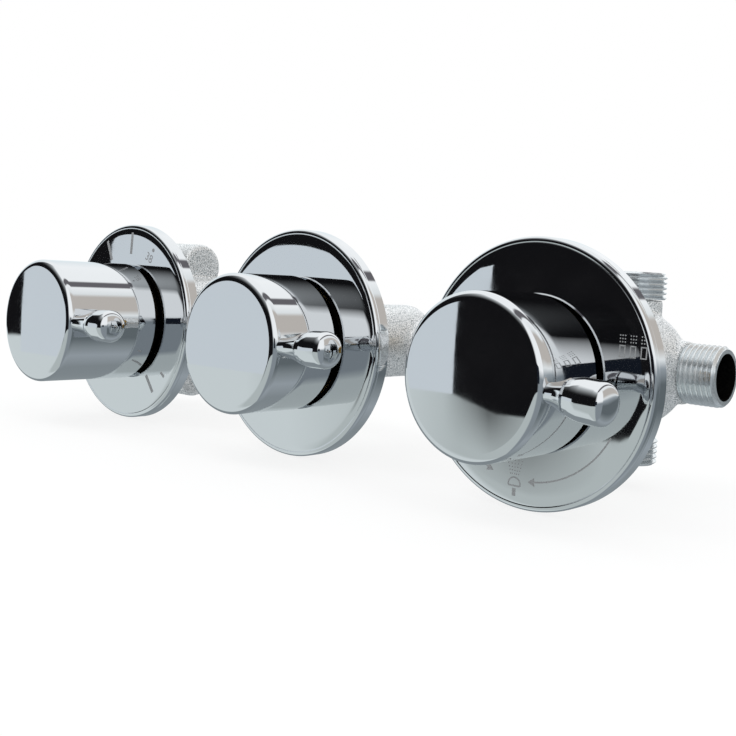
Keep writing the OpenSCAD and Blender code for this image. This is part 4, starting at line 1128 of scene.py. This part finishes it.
def shape_ball(piece):
    x = CONTROLS["diverter"]
    ring = turn_y("ring", x, ball_arc(BALL_R, 0, 90) + [
        (BALL_R, RING_FRONT), (RING_R, RING_FRONT), (RING_R, RING_REAR), (0, RING_REAR)], (), BALL_STEPS)
    for edge, rear, wide in ((RIB_X, RING_REAR + 1, RIB_W), (BOSS_X, BOSS_REAR, BOSS_W)):
        block = box_cutter((x - RING_R - 1, RING_FRONT - 1, -wide), (x + edge, rear, wide))
        boolean(ring, block, "DIFFERENCE")
        remove(block)
    boolean(piece, ring, "DIFFERENCE")
    remove(ring)
    at_rim, at_chamber = degrees(acos((SLEEVE_END - BALL_Y) / BALL_R)), degrees(asin(CHAMBER_R / CUP_IN))
    cup = turn_y("cup", x, ball_arc(BALL_R, 0, at_rim) + [(CHAMBER_R, SLEEVE_END)]
                 + ball_arc(CUP_IN, at_chamber, 0), (), BALL_STEPS)
    boolean(piece, cup, "UNION")
    remove(cup)
    middle, up_end, side_end = Vector((x, OUTLET_Y, 0)), OUTLET_UP - OUTLET_THREAD, OUTLET_SIDE - SIDE_THREAD
    for radius, end, way in ((LEAD_R, up_end, Vector((0, 0, 1))), (LEAD_R, up_end, Vector((0, 0, -1))),
                             (SIDE_LEAD_R, side_end, Vector((1, 0, 0)))):
        for tool_r, start, stop, operation in ((radius, LEAD_FROM, end, "UNION"),
                                               (LEAD_BORE, BORE_FROM, end + 1, "DIFFERENCE")):
            bar = cutter("neck", middle + way * start, middle + way * stop, tool_r)
            boolean(piece, bar, operation)
            remove(bar)


# %% Melted castings
FAR, INLET_CUT, OUTLET_CUT = 30, 11.5, 12
necks = {x: ((x, NECK_FRONT - 1, 0), (x, NECK_REAR, 0), FAR) for x in (xt, xf, xd)}
inlet, inlet_end = xt + INLET_END - 1, xt + INLET_END + INLET_THREAD
melt_casting("thermostat_housing", "thermostat_casting", [
    necks[xt], *(((inlet, INLET_Y, z), (inlet_end, INLET_Y, z), INLET_CUT) for z in (INLET_Z, -INLET_Z)),
])
melt_casting("flow_housing", "flow_casting", [necks[xf]])
low, high = OUTLET_UP - OUTLET_THREAD, OUTLET_UP + 1
melt_casting("diverter_housing", "diverter_casting", [
    necks[xd], *(((xd, OUTLET_Y, low * s), (xd, OUTLET_Y, high * s), OUTLET_CUT) for s in (1, -1)),
    ((xd + OUTLET_SIDE - SIDE_THREAD, OUTLET_Y, 0), (xd + OUTLET_SIDE + 1, OUTLET_Y, 0), OUTLET_CUT),
], shape_ball)

# %% [markdown]
# ## Springs
# Four springs work inside: one lets the capsule overrun, one brings the shuttle back, and two close
# the check valves. The solids are plain sleeves, and here each is wound: a circle of wire climbs
# round its axis with the Screw modifier, and a bisect grinds both ends flat.

# %% Wound springs
COIL_STEPS, WIRE_CORNERS, WIRE_SMOOTH = 32, 12, radians(40)
# (wire radius, coil radius, turns), and where each begins and ends along its axis
OVERLOAD_COIL, RETURN_COIL, CHECK_COIL = (1, 5.5, 3.6), (0.85, 8.1, 6.4), (0.4, 2.8, 5)
OVERLOAD_ENDS, RETURN_ENDS, CHECK_ENDS = (9.05, 19.15), (35.85, 57.5), (-139.65, -132.05)


def build_spring(node, body, wire_r, coil_r, turns, start, end):
    """A spring from start to end in millimetres. It replaces the sleeve of the same node."""
    start, end = Vector(start), Vector(end)
    length = (end - start).length
    pitch = length / turns
    deselect()
    bpy.ops.mesh.primitive_circle_add(vertices=WIRE_CORNERS, radius=wire_r * MM,
                                      location=(coil_r * MM, 0, -pitch * MM), rotation=(pi / 2, 0, 0))
    coil = bpy.context.object
    settle(coil)
    screw = coil.modifiers.new("winding", "SCREW")
    screw.screw_offset, screw.iterations = pitch * MM, ceil(turns) + 2
    screw.steps = screw.render_steps = COIL_STEPS
    apply_modifiers(coil)
    bpy.ops.object.mode_set(mode="EDIT")
    cut_ends(length)
    bpy.ops.object.shade_smooth_by_angle(angle=WIRE_SMOOTH)
    spring = place_bar(coil, f"{node}_coil", start, start - end)
    remove(coil)
    finish_piece(spring, FINISHES["spring_steel"], body, "spring_steel", node)
    return spring


ends = [(xt, y, 0) for y in OVERLOAD_ENDS]
build_spring("overload_spring", "thermostat_slide", *OVERLOAD_COIL, *ends)
ends = [(xt, y, 0) for y in RETURN_ENDS]
spring = build_spring("return_spring", None, *RETURN_COIL, *ends)
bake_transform(spring)
for side, poppet in ((INLET_Z, "hot"), (-INLET_Z, "cold")):
    ends = [(x, INLET_Y, side) for x in CHECK_ENDS]
    spring = build_spring(f"{poppet}_check_spring", None, *CHECK_COIL, *ends)
    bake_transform(spring)
